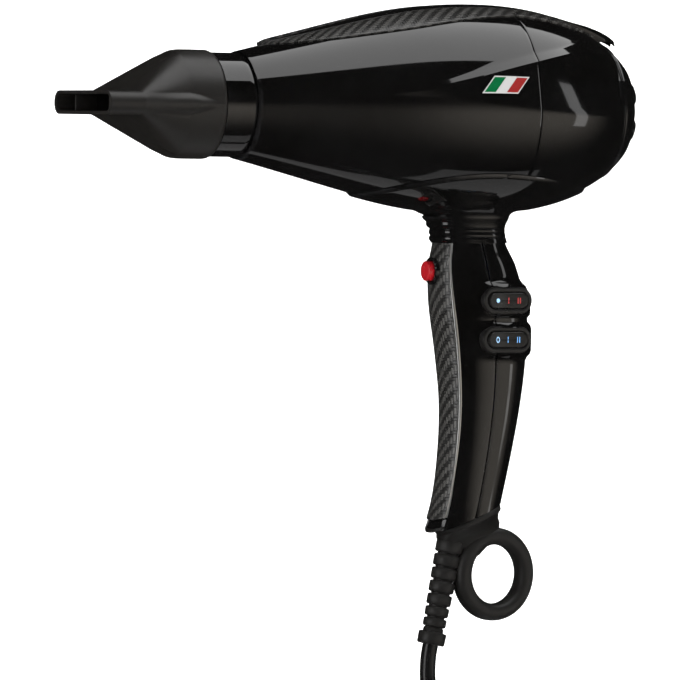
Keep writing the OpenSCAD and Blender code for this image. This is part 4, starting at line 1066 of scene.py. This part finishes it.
def makeNeck(s):
    levels = [mix(s["low"], 92, i / 40) for i in range(41)]
    cols = 145
    fillet, skirt = 22, 26
    middleX, longX, wideY = s["saddle"]

    def place(row, col):
        degrees = 360 * col / (cols - 1)
        c, n = math.cos(math.radians(degrees)), math.sin(math.radians(degrees))
        frontness = ease((abs(degrees - 180) - 62) / -22)
        if row < len(levels):
            z = levels[row]
            mid, deep, wide = [along([(t[0], t[k]) for t in neckTable], z) for k in (1, 2, 3)]
            rib = sum(math.exp(-((z - level) / 1.0) ** 2) for level in s["ribs"]) * s["ribProud"] * frontness
            groove = sum(math.exp(-((z - level) / 0.35) ** 2) for level in s["grooves"]) * 0.5 * (1 - frontness)
            return (mid + (deep + rib - groove) * bulge(c), (wide + rib - groove) * bulge(n), z)
        start = Vector((-8 + (gd + 0.4) * bulge(c), (gw + 0.8) * bulge(n), 92))
        end = underBarrel(-8.5 + 29 * c, 23 * n, s["saddleProud"])
        if row < len(levels) + fillet:
            t = (row - len(levels) + 1) / fillet
            lift = min(end.z - 0.4, 96.2)
            turn = Vector((start.x * 1.02, start.y * 1.02, lift))
            spot = start * (1 - t) ** 2 + turn * 2 * t * (1 - t) + end * t * t
            rib = math.exp(-((spot.z - s["ribs"][0]) / 0.9) ** 2) * s["ribProud"] * frontness
            return spot + Vector((c, n, -0.4)) * rib
        t = (row - len(levels) - fillet + 1) / skirt
        x = middleX + mix(29, longX, min(t, 1)) * c
        y = mix(23, wideY, min(t, 1)) * n
        out = s["saddleProud"] if row < len(levels) + fillet + skirt - 1 else -0.4
        return underBarrel(x, y, out)
    piece = gridOf("neck", len(levels) + fillet + skirt, cols, place)
    cleanUp(piece, 0.000005)
    useModifier(piece, "SOLIDIFY", thickness=0.9 * mm, offset=-1)
    return piece


dress(makeNeck(neck), "glossBlack", replaced=("neck",), angle=40)
print("neck made")

# ---------- cold-shot button ----------
button = {"z": 67.6, "front": -28.6, "radius": 4.5, "ringRadius": 6.2, "ringFront": -26.2, "ringRear": -20.9}


def makeButton(s):
    r, x = s["radius"], s["front"]
    profile = [(x + 0.25, 0), (x + 0.25, r - 1.1), (x, r - 0.95), (x, r - 0.35), (x + 0.35, r), (x + 6.6, r), (x + 6.6, r + 0.8),
               (x + 8.0, r + 0.8), (x + 8.0, 0)]
    piece = lathe("coldButton", profile, (0, 0, s["z"]), 72)
    return piece


def makeButtonRing(s):
    r = s["ringRadius"]
    profile = [(s["ringFront"] + 0.3, r - 1.5), (s["ringFront"], r - 1.2), (s["ringFront"], r - 0.45),
               (s["ringFront"] + 0.45, r), (s["ringRear"], r), (s["ringRear"], r - 1.5), (s["ringFront"] + 0.3, r - 1.5)]
    return lathe("buttonBezel", profile, (0, 0, s["z"]), 72)


dress(makeButton(button), "redGloss", "cold_button", ("cold_button",))
dress(makeButtonRing(button), "glossBlack", replaced=("button_bezel",))

# ---------- switches ----------
switch = {
    "place": (2, 0), "yaw": 8, "long": 26.5, "high": 12, "face": -18.9, "thick": 3.6, "rim": 2.2,
    "rockerLong": 21.2, "rockerHigh": 7.2, "pivot": -15.3, "ends": 4.6, "middle": 3.5, "around": 64,
}


def turnIn(piece, z):
    # from the switch's own axes to the handle
    piece.data.transform(Matrix.Rotation(math.radians(switch["yaw"]), 4, "Z"))
    piece.data.transform(Matrix.Translation(Vector((*switch["place"], z)) * mm))


def makeFrame(name, z):
    s = switch
    profile = [(0.0, s["thick"]), (0.0, 0.55), (0.18, 0.16), (0.6, 0), (s["rim"] - 0.5, 0), (s["rim"] - 0.15, 0.2),
               (s["rim"], 0.6), (s["rim"], s["thick"]), (0.0, s["thick"])]

    def place(row, col):
        inset, deep = profile[row]
        points = stadium(s["long"] / 2 - inset, s["high"] / 2 - inset, s["around"])
        x, height = points[col % len(points)]
        return (x, s["face"] + deep, height)
    piece = gridOf(name, len(profile), s["around"] + 1, place)
    cleanUp(piece, 0.000002)
    turnIn(piece, z)
    return piece


def makeRocker(name, z):
    s = switch
    profile = [(0.0, -4.0), (0.0, 0.55), (0.12, 0.2), (0.4, 0.0), (0.9, -0.05), (1.6, -0.08), (2.4, -0.1), (3.1, -0.1), (3.55, -0.1)]

    def place(row, col):
        inset, _ = profile[row]
        lift = [-4.0, -0.55, -0.2, 0.0, 0.05, 0.06, 0.06, 0.06, 0.06][row]
        points = stadium(s["rockerLong"] / 2 - inset, s["rockerHigh"] / 2 - min(inset, 3.55), s["around"])
        x, height = points[col % len(points)]
        face = mix(s["middle"], s["ends"], (x / (s["rockerLong"] / 2)) ** 2)
        if row == 0:
            return (x, s["pivot"] + 1.2, height)
        return (x, s["pivot"] - face - lift, height)
    piece = gridOf(name, len(profile), s["around"] + 1, place)
    cleanUp(piece, 0.000002)
    pick(piece)
    bpy.ops.object.mode_set(mode="EDIT")
    bpy.ops.mesh.select_all(action="DESELECT")
    bpy.ops.mesh.select_non_manifold()
    bpy.ops.mesh.fill()
    bpy.ops.mesh.select_all(action="SELECT")
    bpy.ops.mesh.normals_make_consistent(inside=False)
    bpy.ops.object.mode_set(mode="OBJECT")
    turnIn(piece, z)
    return piece


def rockerFace(x):
    s = switch
    return s["pivot"] - mix(s["middle"], s["ends"], (x / (s["rockerLong"] / 2)) ** 2) - 0.1


def makeBars(name, z, spots):
    bars = []
    for x in spots:
        bar = boxOf("bar", (x - 0.24, rockerFace(x) - 0.06, -1.35), (x + 0.24, rockerFace(x) + 0.3, 1.35))
        soften(bar, 0.12, 2, 60)
        bars.append(bar)
    piece = joinAll(name, bars)
    turnIn(piece, z)
    return piece


def makeRound(name, z, x, halfWide, halfHigh, line):
    # a filled dot, or an outlined ring where line is given
    inner = line and 1 - line / halfWide or 0.02
    rings = [(inner, 0.3), (inner, -0.06), (1.0, -0.06), (1.0, 0.3), (inner, 0.3)]

    def place(row, col):
        share, deep = rings[row]
        turn = 2 * math.pi * col / 40
        return (x + halfWide * share * math.cos(turn), rockerFace(x) + deep, halfHigh * (share if not line else 1 - (1 - share)
                * halfWide / halfHigh) * math.sin(turn))
    piece = gridOf(name, len(rings), 41, place)
    cleanUp(piece, 0.000002)
    turnIn(piece, z)
    return piece


for label, z, node, bars in (("heat", 54.8, "heat", (0.2, 5.2, 6.3)), ("speed", 37.1, "speed", (0.2, 5.2, 6.3))):
    body = node + "_rocker"
    dress(makeFrame(label + "Frame", z), "switchSatin", replaced=(node + "_switch",))
    dress(makeRocker(label + "Rocker", z), "switchSatin", body, (body,), angle=25)
    if label == "heat":
        dress(makeRound("heatDot", z, -5.9, 0.95, 0.95, 0), "markPale", body)
        dress(makeBars("heatBars", z, bars), "markRed", body)
    else:
        dress(makeRound("speedRing", z, -5.6, 0.95, 1.35, 0.38), "markPale", body)
        dress(makeBars("speedBars", z, bars), "markBlue", body)
print("switches made")

# ---------- boot, hanging loop and strain relief ----------
boot = {
    "middle": (-8.7, 0, -44.6), "half": (19.3, 13.2), "loopMiddle": (8.5, 0, -70), "loopRadius": 17.3, "loopWide": 3.95,
    "loopDeep": 4.6, "loopYaw": 9, "reliefTop": (-11.5, 0, -46), "lean": 11.4, "reliefLong": 56.7,
    "ribs": (6.8, 6.3, 6.0, 6.0, 5.8, 5.2, 4.8), "ribStart": 8.4,
}


def makeBoot(s):
    # rows down from the handle's cut face: drop, shift along, half length, half width
    rows = [(-1.6, 0, 12.0, 8.0), (-1.6, 0, 17.0, 11.0), (-0.3, 0, 17.2, 11.2), (-0.2, 3.4, 14.6, 11.0), (0.0, 3.6, 15.4, 12.6),
            (0.5, 3.6, 15.8, 13.0), (2.2, 3.4, 15.8, 13.0), (2.7, 3.2, 15.6, 12.6), (3.0, 3.0, 15.2, 12.0), (4.6, 2.2, 15.4, 10.4),
            (6.6, 1.8, 15.4, 8.2),
            (8.6, 1.8, 15.8, 6.6), (11.0, 2.4, 14.2, 5.6), (13.6, 2.4, 11.0, 5.0), (16.4, 1.6, 6.6, 4.4), (18.6, 0.6, 2.4, 3.0),
            (19.2, 0.4, 0.02, 0.02)]
    turn = math.radians(-22)
    forward, down = Vector((math.cos(turn), 0, -math.sin(turn))), Vector((-math.sin(turn), 0, -math.cos(turn)))
    cols = 97

    def place(row, col):
        drop, shift, long, wide = rows[row]
        angle = 2 * math.pi * col / (cols - 1)
        return (Vector(s["middle"]) + down * drop + forward * (shift + long * bulge(math.cos(angle)))
                + Vector((0, wide * bulge(math.sin(angle)), 0)))
    piece = gridOf("bootCollar", len(rows), cols, place)
    cleanUp(piece, 0.00001)
    return piece


def makeLoop(s):
    profile = []
    for i in range(41):
        turn = 2 * math.pi * i / 40
        c, n = math.cos(turn), math.sin(turn)
        profile.append((s["loopDeep"] * math.copysign(abs(c) ** 0.8, c), s["loopRadius"] + s["loopWide"] * math.copysign(abs(n) ** 0.8, n)))
    profile[-1] = profile[0]
    piece = lathe("hangingLoop", profile, (0, 0, 0), 96)
    piece.data.transform(Matrix.Rotation(math.radians(s["loopYaw"] - 90), 4, "Z"))
    piece.data.transform(Matrix.Translation(Vector(s["loopMiddle"]) * mm))
    return piece


def makeRelief(s):
    profile = [(-2, 0), (-2, 6.4), (0, 6.4), (s["ribStart"] - 1.0, 6.0), (s["ribStart"] - 0.5, 5.7)]
    spot = s["ribStart"]
    for i, long in enumerate(s["ribs"]):
        r = 6.35 - 0.17 * i
        profile += [(spot - 0.45, r - 1.3), (spot + 0.1, r - 1.3), (spot + 0.25, r - 0.45), (spot + 0.8, r), (spot + long - 1.3, r - 0.05),
                    (spot + long - 0.75, r - 0.5), (spot + long - 0.6, r - 1.3)]
        spot += long
    profile += [(spot + 0.2, 4.6), (spot + 1.6, 4.7), (spot + 1.9, 6.1), (spot + 2.3, 6.4), (s["reliefLong"] - 0.6, 6.3),
                (s["reliefLong"], 5.9), (s["reliefLong"], 3.75), (s["reliefLong"] - 3, 3.7), (s["reliefLong"] - 3, 0)]
    piece = lathe("strainRelief", profile, (0, 0, 0), 72)
    piece.data.transform(Matrix.Rotation(math.radians(90 + s["lean"]), 4, "Y"))
    piece.data.transform(Matrix.Translation(Vector(s["reliefTop"]) * mm))
    return piece


dress(makeBoot(boot), "rubberBlack", replaced=("cord_boot",), angle=45)
dress(makeLoop(boot), "rubberBlack", replaced=("cord_boot",), angle=45)
dress(makeRelief(boot), "rubberBlack", replaced=("cord_boot",), angle=45)
print("boot made")

# ---------- finishes of the pieces that keep their first mesh ----------
slotLooks = {
    "gloss_black": "glossBlack", "spine_black": "spineBlack", "bright_trim": "brightTrim", "satin_black": "satinBlack",
    "steel": "steelBright", "mica": "micaSheet", "nichrome": "nichromeWire", "brass": "brassPlain",
    "duct_plastic": "ductPlastic", "fan_plastic": "fanPlastic", "lamination": "lamination", "copper": "copperWire",
    "carbon": "carbonBlock", "red_button": "redGloss", "switch_black": "switchSatin", "switch_blue": "bluePlastic",
    "board_green": "boardGreen", "wire_grey": "wireGrey", "rubber_black": "rubberBlack", "cord_black": "cordSheath",
    "pin_metal": "pinNickel", "weave_inlay": "satinBlack",
}
slotOf = {part["node"]: part.get("material_slot") for part in frame["record"]["subparts"]}
for name, node in frame["nodes"].items():
    if node.type == "MESH":
        look = slotLooks.get(slotOf.get(name), "ductPlastic")
        node.data.materials.clear()
        node.data.materials.append(finish[look])
print("kept pieces finished")

# ---------- room and light ----------
room = {"floor": -310, "radius": 5200, "high": 6500, "tone": 0.86}


def makeRoom(s):
    # a round pale sweep: floor, soft bend and wall in one
    profile = [(s["floor"], 0.0), (s["floor"], s["radius"] * 0.5), (s["floor"] + 60, s["radius"] * 0.66),
               (s["floor"] + 320, s["radius"] * 0.82), (s["floor"] + 1000, s["radius"] * 0.95), (s["floor"] + 2200, s["radius"]),
               (s["high"], s["radius"])]
    piece = lathe("paleSweep", profile, (0, 0, 0), 96)
    piece.data.transform(Matrix.Rotation(-math.pi / 2, 4, "Y"))
    shade(piece, 60)
    material = bpy.data.materials.new("palePaper")
    material.use_nodes = True
    tree = material.node_tree
    shader = tree.nodes["Principled BSDF"]
    where = tree.nodes.new("ShaderNodeTexCoord")
    cloud = addNode(tree, "ShaderNodeTexNoise", {"Vector": where.outputs["Object"]}, Scale=1.2, Detail=3.0)
    tone = addNode(tree, "ShaderNodeMix", data_type="RGBA")
    tone.inputs[6].default_value = (s["tone"] - 0.03,) * 3 + (1,)
    tone.inputs[7].default_value = (s["tone"],) * 3 + (1,)
    tree.links.new(cloud.outputs[0], tone.inputs[0])
    tree.links.new(tone.outputs[2], shader.inputs["Base Color"])
    shader.inputs["Roughness"].default_value = 0.9
    shader.inputs["Specular IOR Level"].default_value = 0.0
    shader.inputs["Emission Color"].default_value = (1, 1, 1, 1)
    shader.inputs["Emission Strength"].default_value = 0.82
    piece.data.materials.append(material)
    piece.visible_glossy = False
    return piece


makeRoom(room)

lights = {
    # centre, what it faces, width, height (m), strength (W/m2)
    "overhead": ((0.22, -0.13, 0.94), (0.22, -0.13, 0.0), 1.15, 0.90, 5.5),
    "leftBox": ((-1.35, -0.30, 0.12), (-0.1, 0.0, 0.10), 0.55, 0.95, 7.0),
    "rightStrip": ((1.05, -0.78, 0.20), (0.0, 0.0, 0.10), 0.16, 0.8, 4.0),
    "lowCard": ((0.35, 0.10, -0.9), (0.0, 0.0, 0.10), 0.9, 0.5, 1.0),
}


def addLight(name, centre, aim, wide, high, strength):
    freeAll()
    bpy.ops.object.light_add(type="AREA", location=centre)
    lamp = bpy.context.object
    lamp.name = name
    lamp.data.shape = "RECTANGLE"
    lamp.data.size, lamp.data.size_y = wide, high
    lamp.data.energy = strength * wide * high
    direction = Vector(aim) - Vector(centre)
    if abs(direction.x) + abs(direction.y) > 1e-6:
        lamp.rotation_euler = direction.to_track_quat("-Z", "Y").to_euler()


for name, values in lights.items():
    addLight(name, *values)

world = bpy.data.worlds.new("studio")
bpy.context.scene.world = world
world.use_nodes = True
worldTree = world.node_tree
background = worldTree.nodes["Background"]
ray = worldTree.nodes.new("ShaderNodeLightPath")
pale = addNode(worldTree, "ShaderNodeMix", data_type="RGBA")
sky = worldTree.nodes.new("ShaderNodeTexCoord")
split = addNode(worldTree, "ShaderNodeSeparateXYZ", {"Vector": sky.outputs["Generated"]})
low = addNode(worldTree, "ShaderNodeMapRange", {"Value": split.outputs[2]}, interpolation_type="SMOOTHSTEP")
for label, value in (("From Min", 0.16), ("From Max", -0.10)):
    low.inputs[label].default_value = value
deep = addNode(worldTree, "ShaderNodeMapRange", {"Value": split.outputs[2]}, interpolation_type="SMOOTHSTEP")
for label, value in (("From Min", -0.86), ("From Max", -0.12)):
    deep.inputs[label].default_value = value
near = addNode(worldTree, "ShaderNodeMapRange", {"Value": split.outputs[1]}, interpolation_type="SMOOTHSTEP")
for label, value in (("From Min", -0.2), ("From Max", -0.75)):
    near.inputs[label].default_value = value
side = addNode(worldTree, "ShaderNodeMapRange", {"Value": split.outputs[0]}, interpolation_type="SMOOTHSTEP")
for label, value in (("From Min", -0.25), ("From Max", 0.44)):
    side.inputs[label].default_value = value
glow = addMath(worldTree, "MULTIPLY", addMath(worldTree, "MULTIPLY", low.outputs[0], deep.outputs[0]),
               addMath(worldTree, "MULTIPLY", near.outputs[0], side.outputs[0]))
dim = addNode(worldTree, "ShaderNodeMix", data_type="RGBA")
dim.inputs[6].default_value = (0.008, 0.0078, 0.0075, 1)
dim.inputs[7].default_value = (0.62, 0.57, 0.50, 1)
worldTree.links.new(glow, dim.inputs[0])
worldTree.links.new(dim.outputs[2], pale.inputs[6])
pale.inputs[7].default_value = (0.95, 0.95, 0.95, 1)
worldTree.links.new(ray.outputs["Is Camera Ray"], pale.inputs[0])
worldTree.links.new(pale.outputs[2], background.inputs["Color"])
bpy.context.scene.view_settings.view_transform = "Standard"
print("room and lights placed")

freeAll()
